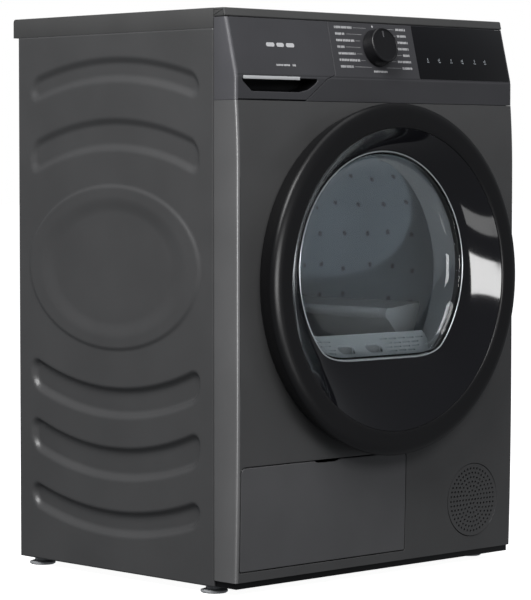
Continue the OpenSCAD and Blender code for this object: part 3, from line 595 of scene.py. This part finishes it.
# centre y and z, then half width and half height
ELLIPSE = (275, 470, 198.6, 125)
LIP_RISE, LIP_SLOPE = 3.0, 4.5
DISH_DROP, DISH_START, DISH_SLOPE = 3.6, 0.86, 0.20


def band_depth(y, z, mid, rise, width):
    """Depth of one bowed band. The lower bands are deeper, with a steeper upper edge."""
    r = (EMBOSS_HALF ** 2 + rise ** 2) / (2 * abs(rise))
    cz = mid - math.copysign(r, rise)
    out = math.hypot(y - EMBOSS_MID, z - cz) - r
    a = abs(out) - width / 2 + BAND_CORNER_R
    b = abs(y - EMBOSS_MID) - EMBOSS_HALF + BAND_CORNER_R
    d = min(max(a, b), 0) + math.hypot(max(a, 0), max(b, 0)) - BAND_CORNER_R
    if rise > 0:
        return UPPER_PRESS * smooth(-d / PRESS_SLOPE)
    return LOWER_PRESS * smooth(-d / (PRESS_SLOPE - 5 * smooth(0.5 - out / width)))


def ellipse_rise(y, z):
    """How far the raised oval stands proud: a narrow lip round a shallow dish."""
    cy, cz, ry, rz = ELLIPSE
    e = math.hypot((y - cy) / ry, (z - cz) / rz)
    lip = LIP_RISE * smooth((1 - e) * rz / LIP_SLOPE)
    dish = DISH_DROP * smooth((DISH_START - e) / DISH_SLOPE)
    return lip - dish


def side_depth(y, z):
    """How far the pressed side panel lies inside its flat plane."""
    return sum(band_depth(y, z, *b) for b in BANDS) - ellipse_rise(y, z)


SIDE_COLUMNS, SIDE_ROWS = 190, 340
FOLD_DEPTH = 6


def side_skin(sign, name, node):
    """Pressed side sheet with rolled front and rear edges."""
    y0, y1, z0, z1 = SIDE_LOW.y + 0.4, SIDE_HIGH.y, SIDE_LOW.z, SIDE_HIGH.z - 0.3
    edge = 2.0
    ys = [y0 + edge * t for t in (0, 0.3, 0.7)]
    ys += [y0 + edge + (y1 - y0 - 2 * edge) * i / SIDE_COLUMNS for i in range(SIDE_COLUMNS + 1)]
    ys += [y1 - edge * t for t in (0.7, 0.3, 0)]
    zs = [z0 + (z1 - z0) * i / SIDE_ROWS for i in range(SIDE_ROWS + 1)]
    verts = []
    for z in zs:
        row = []
        for y in ys:
            near = min(y - y0, y1 - y)
            roll = edge - math.sqrt(max(0.0, edge ** 2 - (edge - near) ** 2)) if near < edge else 0.0
            row.append((sign * (HALF_W - roll - side_depth(y, z)), y, z))
        inner = HALF_W - FOLD_DEPTH - edge
        verts += [(sign * inner, y0 + 0.3, z)] + row + [(sign * inner, y1 - 0.3, z)]
    cols = len(ys) + 2
    faces = grid_faces(len(zs), cols, False)
    obj = skin(name, verts, faces, PAINT, "cabinet", (node,), sharp=60)
    thick = obj.modifiers.new("sheet", "SOLIDIFY")
    thick.thickness = 1.2 * MM
    thick.offset = -1
    return obj


side_skin(-1, "side_skin_left", "side_panel_left")
side_skin(1, "side_skin_right", "side_panel_right")

# ---------------------------------------------------------------- front panel and its corners
FRONT_LEVELS = spaced(PANEL_LOW.z, FLAT_LOW_Z, 16) + spaced(FLAT_HIGH_Z, PANEL_HIGH.z, 7)
FLAP_GAP = 1.2
flap_hole = rounded_rect(FLAP_LOW.x - FLAP_GAP, FLAP_HIGH.x + FLAP_GAP, FLAP_LOW.z - FLAP_GAP,
                         FLAP_HIGH.z + FLAP_GAP, 9, low_r=3)
vent_centre = centre("vent_grille")
VENT_R = 56.5
catch_low, catch_high = node_box("door_catch")
catch_hole = rounded_rect(catch_low.x - 5, catch_high.x + 1.5, catch_low.z - 4, catch_high.z + 4, 2)
FACE_X = HALF_W - CORNER_R
face_outline = dense([(-FACE_X, PANEL_LOW.z), (FACE_X, PANEL_LOW.z),
                      (FACE_X, PANEL_HIGH.z), (-FACE_X, PANEL_HIGH.z)])


def corner_column(name, sign, z0, z1, face, mat, back):
    """Rounded vertical edge and side return, from the front face back to the side panel's seam."""
    plan = [(FACE_X - 0.6, 0.0)]
    plan += [(FACE_X + CORNER_R * math.sin(math.radians(a)), CORNER_R * (1 - math.cos(math.radians(a))))
             for a in range(0, 91, 10)]
    end = 1.2
    plan += [(HALF_W, back - end), (HALF_W - 0.35, back - 0.35), (HALF_W - end, back), (HALF_W - 3, back)]
    levels = [z0 + (z1 - z0) * i / 60 for i in range(61)]
    verts = []
    for z in levels:
        for x, y in plan:
            blend_out = 1 - smooth((y - CORNER_R) / 6)
            verts.append((sign * x, y + face(z) * blend_out, z))
    skin(name, verts, grid_faces(len(levels), len(plan), False), mat, "cabinet", (), sharp=60)


def front_panel():
    """Front sheet with its four openings, and its two rounded corners."""
    loops = [(face_outline, 0.0), (circle(0, DRUM_Z, MOUTH_R), 1.5), (flap_hole, 1.0),
             (circle(vent_centre.x, vent_centre.z, VENT_R + 0.7, 64), 1.2), (catch_hole, 0.6)]
    plate("front_skin", loops, SHEET, fall, PAINT, "cabinet", ("front_panel",),
          levels=FRONT_LEVELS)
    for sign, side in ((-1, "left"), (1, "right")):
        corner_column("front_corner_" + side, sign, PANEL_LOW.z, PANEL_HIGH.z, fall, PAINT,
                      SIDE_LOW.y - 0.6)


front_panel()

# ---------------------------------------------------------------- control fascia
DRAWER_X1 = DRAWER_HIGH.x
DRAWER_GAP = 0.7
DRAWER_CUT = [(-156, 719), (-112, 751), (-95, 757)]


def drawer_outline(gap):
    """Outline of the drawer front, grown by gap."""
    left, right, low = DRAWER_LOW.x - gap, DRAWER_X1 + gap, DRAWER_LOW.z - gap
    top = FASCIA_HIGH.z
    cut = [(x + gap * 0.6, z - gap) for x, z in DRAWER_CUT]
    return [(left, low)] + cut + [(right, top), (left, top)]


def fascia_outline():
    """Face of the fascia: it wraps the drawer's right and lower edges and reaches the right corner."""
    top = FASCIA_HIGH.z
    low = FASCIA_LOW.z
    edge = [(x + DRAWER_GAP * 0.6, z - DRAWER_GAP) for x, z in DRAWER_CUT]
    return [(edge[0][0] - 1.5, low), (FACE_X, low), (FACE_X, top), (DRAWER_X1 + DRAWER_GAP, top)] + \
        [edge[2], edge[1], edge[0]]


def screen_outline(gap):
    """Hole for the display window, gap wider than it all round."""
    return rounded_rect(SCREEN_LOW.x - gap, SCREEN_HIGH.x + gap, SCREEN_LOW.z - gap, SCREEN_HIGH.z + gap, 1.5)


FASCIA_LEVELS = [CREASE_Z + d for d in (-4, -2.5, -1.7, -1.1, -0.5, 0, 0.5, 1.1, 1.7, 2.5, 4)]


def fascia():
    """Sloping control panel with a hole for the display, and its two corners."""
    plate("fascia_skin", [(dense(fascia_outline()), 0.6), (screen_outline(0.25), 0.3)], 2.5, slant, FASCIA,
          "cabinet", ("control_fascia",), levels=FASCIA_LEVELS)
    for sign, side in ((-1, "left"), (1, "right")):
        corner_column("fascia_corner_" + side, sign, FASCIA_LOW.z, FASCIA_HIGH.z - 0.1, slant, FASCIA,
                      SIDE_LOW.y - 0.6)


fascia()


def worktop_nose():
    """Sloping front strip of the worktop, with a small radius at its front edge and its two ends."""
    low, high, back = FASCIA_HIGH.z + 0.4, TOP_HIGH.z, TOP_LOW.y - 0.3
    front_low, front_high = slant(low), slant(high)
    section = counter(filleted([(front_low, low), (front_high, high), (back, high), (back, low)], 2.2, 6))
    rings = []
    for inset, move in ((3.0, 0), (1.2, 0.25), (0.35, 0.9), (0, 2.0)):
        rings.append([(-HALF_W + move, y, z) for y, z in shrunk(section, inset)])
    for inset, move in ((0, 2.0), (0.35, 0.9), (1.2, 0.25), (3.0, 0)):
        rings.append([(HALF_W - move, y, z) for y, z in shrunk(section, inset)])
    weighted(loft("worktop_nose", rings, WORKTOP, "cabinet", ("worktop_trim",),
                  cap_start=True, cap_end=True))


worktop_nose()

# ---------------------------------------------------------------- drawer of the water tank
def block(name, low, high, edge, mat, body, replaces=()):
    """Box with rounded edges."""
    x0, y0, z0 = low
    x1, y1, z1 = high
    verts = [(x, y, z) for x in (x0, x1) for y in (y0, y1) for z in (z0, z1)]
    faces = [(0, 1, 3, 2), (4, 6, 7, 5), (0, 4, 5, 1), (2, 3, 7, 6), (0, 2, 6, 4), (1, 5, 7, 3)]
    obj = skin(name, verts, faces, mat, body, replaces)
    rounding = obj.modifiers.new("rounding", "BEVEL")
    rounding.width = edge * MM
    rounding.segments = 3
    rounding.harden_normals = False
    return weighted(obj)


TANK_LOW, TANK_HIGH = node_box("water_tank")
RECESS_TOP = 749.6
DRAWER_BACK_Y = 34
RIB_LOW_Z, RIB_HIGH_Z = 756, 806
recess = counter(filleted([(-284, RECESS_TOP), (-284, 745), (-265, 730), (-170, 730), (-152, 734),
                           (-138, 742), (-130, RECESS_TOP)], 6))
plate("drawer_skin", [(dense(drawer_outline(0)), 0.6), (recess, 1.2)], 3, slant, FASCIA, "drawer",
      ("drawer_front",), levels=FASCIA_LEVELS)
cup("drawer_recess", recess, slant, 32, 2, BLACK, "drawer")
block("drawer_back", (TANK_LOW.x, DRAWER_BACK_Y, 738.5), (TANK_HIGH.x, DRAWER_BACK_Y + 3, TANK_HIGH.z - 2),
      1.0, BLACK, "drawer")
for number, rib_x in enumerate((TANK_LOW.x + 1, -201, TANK_HIGH.x - 4)):
    block(f"drawer_rib_{number}", (rib_x, slant(812) + 3, RIB_LOW_Z),
          (rib_x + 3, DRAWER_BACK_Y + 0.5, RIB_HIGH_Z), 0.6, BLACK, "drawer")

# ---------------------------------------------------------------- sill under the rear panel
rear_low, rear_high = node_box("rear_panel")
pan_top = node_box("base_pan")[1].z
block("rear_sill", (rear_low.x + 1, rear_low.y + 0.1, pan_top + 0.2),
      (rear_high.x - 1, rear_low.y + 1.4, rear_low.z - 0.2), 0.4, ZINC, "cabinet")

# ---------------------------------------------------------------- service flap
# finger notch in the upper edge: x, and z measured from the edge
NOTCH = [(-88, 0), (-91, -1.2), (-95, -2.6), (-101, -3.2),
         (-129, -3.2), (-135, -2.6), (-139, -1.2), (-142, 0)]
CORNER_POINTS = 7
PIVOT_Y, PIVOT_Z = 11, 44
flap_loop = rounded_rect(FLAP_LOW.x, FLAP_HIGH.x, FLAP_LOW.z, FLAP_HIGH.z, 8, low_r=2.5)
flap_top = FLAP_HIGH.z
flap_loop = flap_loop[:CORNER_POINTS] + [(x, flap_top + dz) for x, dz in NOTCH] + flap_loop[CORNER_POINTS:]
plate("flap_skin", [(dense(flap_loop), 1.2)], 3, fall, FLAP_PAINT, "flap", ("service_flap",),
      levels=spaced(FLAP_LOW.z, FLAP_HIGH.z, 12))
for number, lug_x in enumerate((FLAP_LOW.x + 6.5, FLAP_HIGH.x - 10.5)):
    block(f"flap_lug_{number}", (lug_x, PIVOT_Y - 4, PIVOT_Z - 3),
          (lug_x + 4, PIVOT_Y + 1, PIVOT_Z + 16), 0.8, BLACK, "flap")
    pin_profile = [(0.0, -1.5), (1.6, -1.5), (2.0, -1.1), (2.0, 5.1), (1.6, 5.5), (0.0, 5.5)]
    pin_verts, sides = [], 24
    for r, dx in pin_profile:
        for k in range(sides):
            a = math.radians(360 * k / sides)
            pin_verts.append((lug_x + dx, PIVOT_Y + r * math.cos(a), PIVOT_Z + r * math.sin(a)))
    skin(f"flap_pin_{number}", pin_verts, grid_faces(len(pin_profile), sides), BLACK, "flap")
for end, rib_y0, rib_y1, rib_z in (("upper", 2.8, 8, 168), ("lower", 5.2, 8.8, 84)):
    block("flap_rib_" + end, (FLAP_LOW.x + 18, rib_y0, rib_z), (FLAP_HIGH.x - 18, rib_y1, rib_z + 2.5), 0.7,
          BLACK, "flap")

# ---------------------------------------------------------------- door
# section of the door ring as (radius, y): the first 17 points are its visible curve
RIM_CURVE = 17
RIM_SHAPE = [(256, -2), (258, -8), (261, -18), (263.2, -26), (264, -30), (263.6, -33), (262.2, -35.8),
             (259.6, -38.2), (256, -40.2), (252, -41.4), (248, -42), (240, -42.2), (233, -42), (230, -41.4),
             (227.8, -40.4), (226.8, -39), (226.6, -36), (226.6, -34), (232, -34), (252, -34), (256, -28),
             (253, -10), (252, -2)]
RIM_SHIFT = RING_R - 264


def spline(points, n=4):
    """Catmull-Rom curve through an open run of points."""
    out = []
    ends = [points[0]] + points + [points[-1]]
    for i in range(1, len(ends) - 2):
        p0, p1, p2, p3 = (Vector(q) for q in ends[i - 1:i + 3])
        for k in range(n):
            t = k / n
            out.append(tuple(0.5 * ((2 * p1) + (p2 - p0) * t + (2 * p0 - 5 * p1 + 4 * p2 - p3) * t * t
                                    + (3 * p1 - p0 - 3 * p2 + p3) * t ** 3)))
    return out + [tuple(points[-1])]


rim_outer = spline([(r + RIM_SHIFT, y) for r, y in RIM_SHAPE[:RIM_CURVE]])
rim_profile = rim_outer + [(r + RIM_SHIFT, y) for r, y in RIM_SHAPE[RIM_CURVE:]]
turned("ring_skin", rim_profile, 0, RING_Z, BLACK, "door", ("door_ring",), sides=200,
       closed=True)

DISH_R = 226.4
DISH_FRONT = -38.6
DISH_BACK = -3.0
WINDOW_SOFT = 26


def window_point(angle, r, chord):
    """Point on the window's outline: a circle with a straight lower edge and soft corners."""
    s = math.sin(angle)
    reach = r
    if s < -0.2:
        limit = (WINDOW_Z - chord) / -s
        h = min(max(0.5 + 0.5 * (r - limit) / WINDOW_SOFT, 0), 1)
        reach = r + (limit - r) * h - WINDOW_SOFT * h * (1 - h)
    return Vector((reach * math.cos(angle), WINDOW_Z + reach * s))


def window_ring(r, chord, y, sides=200):
    """The window's outline as a ring of points at depth y."""
    return [(p.x, y, p.y) for p in (window_point(2 * math.pi * i / sides, r, chord) for i in range(sides))]


def dish_ring(t, y, sides=200):
    """Ring part of the way, t, from the dish's round outside to the window."""
    ring = []
    for i in range(sides):
        a = 2 * math.pi * i / sides
        outer = Vector((DISH_R * math.cos(a), RING_Z + DISH_R * math.sin(a)))
        inner = window_point(a, WINDOW_R, CHORD_Z)
        p = outer.lerp(inner, t)
        ring.append((p.x, y, p.y))
    return ring


dish_rings = [dish_ring(0.0, DISH_FRONT + 2.5)]
DISH_STEPS = 20
for k in range(DISH_STEPS + 1):
    t = k / DISH_STEPS
    deep = 0.45 * math.sin(t * math.pi / 2) + 0.55 * t
    dish_rings.append(dish_ring(t, DISH_FRONT + (DISH_BACK - DISH_FRONT) * deep))
dish_rings.append([(p[0], DISH_BACK + 0.9, p[2]) for p in window_ring(WINDOW_R + 0.6, CHORD_Z - 0.6, 0)])
dish_rings.append(window_ring(WINDOW_R + 1.2, CHORD_Z - 1.2, DISH_BACK + 2.6))
loft("dish_skin", dish_rings, GLOSS, "door", ("door_dish",), sharp=40)

# section of the glass bowl as (radius, y): front face from the flange inwards, then back face outwards
glass_profile = [(184, 4.0), (187, 3.4), (187, 1.0), (184, 0.4), (177, 0.4), (175, 0.7), (172.5, 3),
                 (170.8, 8), (167.5, 14), (161, 19), (152, 21.4), (130, 22.2), (80, 22.5), (20, 22.6)]
glass_inner = [(20, 25.8), (80, 25.7), (130, 25.3), (153, 24.5), (164, 21.6), (171, 15.8), (174.6, 8.5),
               (176, 4.4)]
glass_rings = [window_ring(r, WINDOW_Z - r * (WINDOW_Z - CHORD_Z - 1) / WINDOW_R, y)
               for r, y in glass_profile + glass_inner]
glass_verts = [p for ring in glass_rings for p in ring]
ring_count, ring_sides = len(glass_rings), len(glass_rings[0])
glass_faces = grid_faces(ring_count, ring_sides, True, False)
last = (ring_count - 1) * ring_sides
glass_faces += [(last + i, i, (i + 1) % ring_sides, last + (i + 1) % ring_sides) for i in range(ring_sides)]
middle_front, middle_back = len(glass_profile) - 1, len(glass_profile)
glass_faces = [f for f in glass_faces
               if not (f[0] // ring_sides == middle_front and f[1] // ring_sides == middle_back)]
glass_faces += [tuple(middle_front * ring_sides + i for i in range(ring_sides)),
                tuple(middle_back * ring_sides + i for i in reversed(range(ring_sides)))]
glass_skin = skin("glass_skin", glass_verts, glass_faces, GLASS, "door", ("door_glass",),
                  sharp=50)
glass_skin.visible_shadow = False


def window_highlight_bead():
    """Polished bead where the glass meets the dish. Its light grey colour is partly a painted highlight along
    the glass edge; the rest of its shine comes from the lamps.
    """
    rings, radius, inset, steps = [], 1.1, 1.4, 10
    for k in range(steps):
        a = 2 * math.pi * k / steps
        grow = radius * math.cos(a)
        y = DISH_BACK + 0.6 + radius * math.sin(a)
        rings.append(window_ring(WINDOW_R - inset + grow, CHORD_Z + inset - grow, y))
    verts = [p for ring in rings for p in ring]
    faces = grid_faces(steps, len(rings[0]), True, True)
    skin("window_highlight_bead", verts, faces, BEAD_HIGHLIGHT, "door", sharp=80)


window_highlight_bead()

# ---------------------------------------------------------------- programme dial
DIAL_X, DIAL_Z = 2, 799
LEAN = math.atan(SLOPE)


def dial_point(x, up, out):
    """Point measured on the slanted face from the dial's centre."""
    y = slant(DIAL_Z) + up * math.sin(LEAN) - out * math.cos(LEAN)
    return (DIAL_X + x, y, DIAL_Z + up * math.cos(LEAN) + out * math.sin(LEAN))


def dial():
    """Knob with fine grip teeth and a small pointer bar."""
    profile = spline([(27.0, 0.7), (28.4, 1.6), (28.5, 3.0), (27.6, 12), (27.0, 18.6), (26.2, 20.2),
                      (24.9, 20.9), (23.8, 20.4), (23.0, 19.8), (14, 19.7), (2, 19.7)], 3)
    sides, teeth = 240, 60
    verts = []
    for r, h in profile:
        grip = 0.35 * smooth((h - 3) / 3) * smooth((18.2 - h) / 2) if r > 26 else 0.0
        for i in range(sides):
            a = 2 * math.pi * i / sides
            reach = r - grip * (0.5 + 0.5 * math.cos(a * teeth))
            verts.append(dial_point(reach * math.cos(a), reach * math.sin(a), h))
    faces = grid_faces(len(profile), sides)
    faces.append([(len(profile) - 1) * sides + i for i in range(sides)])
    faces.append(list(reversed(range(sides))))
    skin("dial_skin", verts, faces, DIAL, "dial", ("dial_knob",), sharp=50)
    bar = [dial_point(x, up, out) for out in (19.6, 20.1) for x, up in
           ((-0.8, 12), (0.8, 12), (0.8, 21.5), (-0.8, 21.5))]
    bar_faces = [(0, 1, 2, 3), (4, 5, 6, 7), (0, 1, 5, 4), (1, 2, 6, 5), (2, 3, 7, 6), (3, 0, 4, 7)]
    skin("dial_pointer", bar, bar_faces, POINTER, "dial")


dial()

# ---------------------------------------------------------------- printed bars in place of words
PRINT_LIFT = 0.06
LEFT_BARS = (37, 20, 38, 15, 36, 43, 27)
RIGHT_BARS = (22, 21, 22, 26, 15, 29, 21)
BAR_TOP_Z, BAR_PITCH, BAR_HIGH = 829, 9.8, 3.8
BARS_LEFT_X, BARS_RIGHT_X = -80, 74
DIAL_CLEAR_R = 33


def printed(verts, faces, x0, x1, z0, z1, surf=slant):
    """Adds one thin printed bar with rounded ends on the face."""
    loop = rounded_rect(x0, x1, z0, z1, min(x1 - x0, z1 - z0) * 0.49, 3)
    start = len(verts)
    verts += [(x, surf(z) - PRINT_LIFT, z) for x, z in loop]
    verts += [(x, surf(z) + 0.4, z) for x, z in loop]
    count = len(loop)
    faces.append(tuple(range(start, start + count)))
    faces += [(start + i, start + count + i, start + count + (i + 1) % count, start + (i + 1) % count)
              for i in range(count)]


def wordlike(verts, faces, x0, x1, z, height, seed):
    """A word's worth of short strokes from x0 to x1, all the same generic shape."""
    x, step = x0, 0
    while x < x1 - 0.8:
        width = 1.5 + 0.5 * ((seed + step * 3) % 3)
        printed(verts, faces, x, min(x + width, x1), z - height / 2, z + height / 2)
        x += width + (0.7 if (seed + step) % 5 else 1.6)
        step += 1


def fascia_marks():
    """Strokes in place of the programme names, each with a thin line towards the dial."""
    verts, faces = [], []
    for row in range(len(LEFT_BARS)):
        z = BAR_TOP_Z - BAR_PITCH * row
        wordlike(verts, faces, BARS_LEFT_X, BARS_LEFT_X + LEFT_BARS[row], z, BAR_HIGH, row)
        wordlike(verts, faces, BARS_RIGHT_X - RIGHT_BARS[row], BARS_RIGHT_X, z, BAR_HIGH, row + 3)
        reach = abs(z - DIAL_Z)
        edge = math.sqrt(DIAL_CLEAR_R ** 2 - reach ** 2) if reach < DIAL_CLEAR_R else 8
        left_end, right_end = BARS_LEFT_X + LEFT_BARS[row] + 3, BARS_RIGHT_X - RIGHT_BARS[row] - 3
        if left_end < DIAL_X - edge - 2:
            printed(verts, faces, left_end, DIAL_X - edge, z - 0.18, z + 0.18)
        if right_end > DIAL_X + edge + 2:
            printed(verts, faces, DIAL_X + edge, right_end, z - 0.18, z + 0.18)
    printed(verts, faces, DIAL_X - 1.6, DIAL_X + 1.6, 830.4, 833.6)
    wordlike(verts, faces, DIAL_X - 13, DIAL_X + 17, 764, 3.4, 2)
    skin("programme_marks", verts, faces, PRINT, "cabinet")


def drawer_marks():
    """Plain blocks and strokes on the drawer's front, which move with it."""
    verts, faces = [], []
    wordlike(verts, faces, -213, -184, 769, 3.2, 1)
    wordlike(verts, faces, -180, -172, 769, 3.2, 3)
    for x0, x1 in ((-227, -210), (-206, -191), (-187, -170)):
        printed(verts, faces, x0, x1, 795.5, 801.5)
    skin("drawer_marks", verts, faces, PRINT, "drawer")


fascia_marks()
drawer_marks()


def screen_face(z):
    """Front of the display window at height z."""
    return slant(z) - 0.15


def screen_marks():
    """Small generic marks of the touch keys."""
    verts, faces = [], []
    for number, x in enumerate((112.5, 138.6, 165.3, 191, 218.9, 243.4)):
        printed(verts, faces, x - 2.4, x + 2.4, 780.6, 782.2, screen_face)
        printed(verts, faces, x - 0.9, x + 0.9, 783.2, 787.4, screen_face)
        if number % 2:
            printed(verts, faces, x - 3.2, x - 1.8, 783.2, 785.8, screen_face)
    skin("touch_marks", verts, faces, SCREEN_MARK, "cabinet")


screen_marks()

# ---------------------------------------------------------------- floor, light and camera
def stage_floor():
    """Plain white floor. Gloss doesn't reflect it, so the black door stays black."""
    mat, _, shader = new_material("floor_white")
    shader.inputs["Base Color"].default_value = (0.85, 0.85, 0.85, 1)
    shader.inputs["Roughness"].default_value = 0.9
    shader.inputs["Specular IOR Level"].default_value = 0.1
    shader.inputs["Emission Color"].default_value = (1, 1, 1, 1)
    shader.inputs["Emission Strength"].default_value = 0.96
    mesh = bpy.data.meshes.new("floor")
    made = bmesh.new()
    bmesh.ops.create_grid(made, x_segments=4, y_segments=4, size=30)
    made.to_mesh(mesh)
    made.free()
    obj = bpy.data.objects.new("floor", mesh)
    bpy.context.scene.collection.objects.link(obj)
    mesh.materials.append(mat)
    obj.visible_glossy = False
    obj.visible_diffuse = False


stage_floor()


def softbox(name, azimuth, height, distance, width, tall, radiance, target=(0, 0, 0.42)):
    """Soft rectangular lamp. Azimuth 0 is straight in front of the machine, positive to its left;
    radiance is the brightness of the lamp's face."""
    lamp = bpy.data.lights.new(name, "AREA")
    lamp.shape = "RECTANGLE"
    lamp.size, lamp.size_y = width, tall
    lamp.energy = radiance * math.pi * width * tall
    obj = bpy.data.objects.new(name, lamp)
    a = math.radians(azimuth)
    target = Vector(target)
    obj.location = (target.x - math.sin(a) * distance, target.y - math.cos(a) * distance, height)
    obj.rotation_mode = "QUATERNION"
    obj.rotation_quaternion = (target - obj.location).to_track_quat("-Z", "Y")
    obj.visible_camera = False
    bpy.context.scene.collection.objects.link(obj)
    return obj


def spot(name, place, aim, cone, watts):
    """Small hard-edged lamp that throws a round patch of light."""
    lamp = bpy.data.lights.new(name, "SPOT")
    lamp.energy = watts
    lamp.spot_size = math.radians(cone)
    lamp.spot_blend = 0.05
    lamp.shadow_soft_size = 0.004
    obj = bpy.data.objects.new(name, lamp)
    obj.location = place
    obj.rotation_mode = "QUATERNION"
    obj.rotation_quaternion = Vector(aim).to_track_quat("-Z", "Y")
    bpy.context.scene.collection.objects.link(obj)
    return obj


def light_only(lamp, names, state):
    """Lights only these pieces (INCLUDE) or everything but them (EXCLUDE)."""
    group = bpy.data.collections.new(lamp.name + "_receivers")
    for name in names:
        group.objects.link(bpy.data.objects[name])
    for entry in group.collection_objects:
        entry.light_linking.link_state = state
    lamp.light_linking.receiver_collection = group


# which pieces each lamp lights
INSIDE = ("drum_shell", "drum_back", "drum_lifters", "lint_filter", "loading_ring", "door_seal")
DRUM = ("drum_shell", "drum_back", "drum_lifters")
GLOSSY = ("dish_skin", "ring_skin", "glass_skin", "window_highlight_bead")
CORNERS = ("front_corner_left", "front_corner_right", "fascia_corner_left", "fascia_corner_right")
DISH_SIDE = (0.2, -0.25, 0.45)
light_only(softbox("dish_key", 25, 0.45, 3.0, 1.30, 0.90, 17, DISH_SIDE), GLOSSY, "INCLUDE")
light_only(softbox("low_card", 28, 0.08, 0.8, 0.30, 0.16, 3, DISH_SIDE), GLOSSY, "INCLUDE")
light_only(softbox("front_key", 20, 2.0, 3.0, 1.6, 1.2, 6.3), INSIDE + GLOSSY, "EXCLUDE")
light_only(softbox("side_key", 66, 2.7, 2.3, 1.6, 1.6, 14), INSIDE, "EXCLUDE")
light_only(softbox("edge_strip", 50, 0.7, 3.4, 0.22, 1.8, 96), CORNERS, "INCLUDE")
light_only(softbox("overhead", 0, 3.0, 0.3, 2.0, 2.0, 1.2), INSIDE, "EXCLUDE")
# throws the bright arc seen on the drum's wall: place in metres, direction, cone in degrees, watts
ARC_PLACE, ARC_AIM, ARC_CONE, ARC_POWER = (-0.26, -0.771, 0.282), (0.4353, 0.8562, 0.2782), 16.9, 34
light_only(spot("drum_light", ARC_PLACE, ARC_AIM, ARC_CONE, ARC_POWER), DRUM, "INCLUDE")

# white behind the machine, a dim blue-grey surround for everything it reflects
world = bpy.data.worlds.new("studio")
bpy.context.scene.world = world
world.use_nodes = True
wt = world.node_tree
wt.nodes.clear()
world_out = wt.nodes.new("ShaderNodeOutputWorld")
mix = wt.nodes.new("ShaderNodeMixShader")
seen, dim = wt.nodes.new("ShaderNodeBackground"), wt.nodes.new("ShaderNodeBackground")
ray = wt.nodes.new("ShaderNodeLightPath")
seen.inputs["Color"].default_value = (1, 1, 1, 1)
seen.inputs["Strength"].default_value = 1.0
dim.inputs["Color"].default_value = (0.93, 0.96, 1, 1)
dim.inputs["Strength"].default_value = 0.20
wt.links.new(ray.outputs["Is Camera Ray"], mix.inputs[0])
wt.links.new(dim.outputs[0], mix.inputs[1])
wt.links.new(seen.outputs[0], mix.inputs[2])
wt.links.new(mix.outputs[0], world_out.inputs[0])
bpy.context.scene.view_settings.view_transform = "Standard"

# the photo's view, worked out from the machine's edges in it
CAMERA_AZIMUTH, CAMERA_TILT = math.radians(43.70), math.radians(2.85)
camera = bpy.data.cameras.new("photo_view")
camera.lens = 163.26
camera.sensor_width = 36
camera.sensor_fit = "AUTO"
camera.clip_start, camera.clip_end = 0.1, 100
eye = bpy.data.objects.new("photo_view", camera)
eye.location = (-2.9556, -3.07265, 0.6247)
level = math.cos(CAMERA_TILT)
ahead = Vector((math.sin(CAMERA_AZIMUTH) * level, math.cos(CAMERA_AZIMUTH) * level, -math.sin(CAMERA_TILT)))
eye.rotation_mode = "QUATERNION"
eye.rotation_quaternion = ahead.to_track_quat("-Z", "Y")
bpy.context.scene.collection.objects.link(eye)
bpy.context.scene.camera = eye
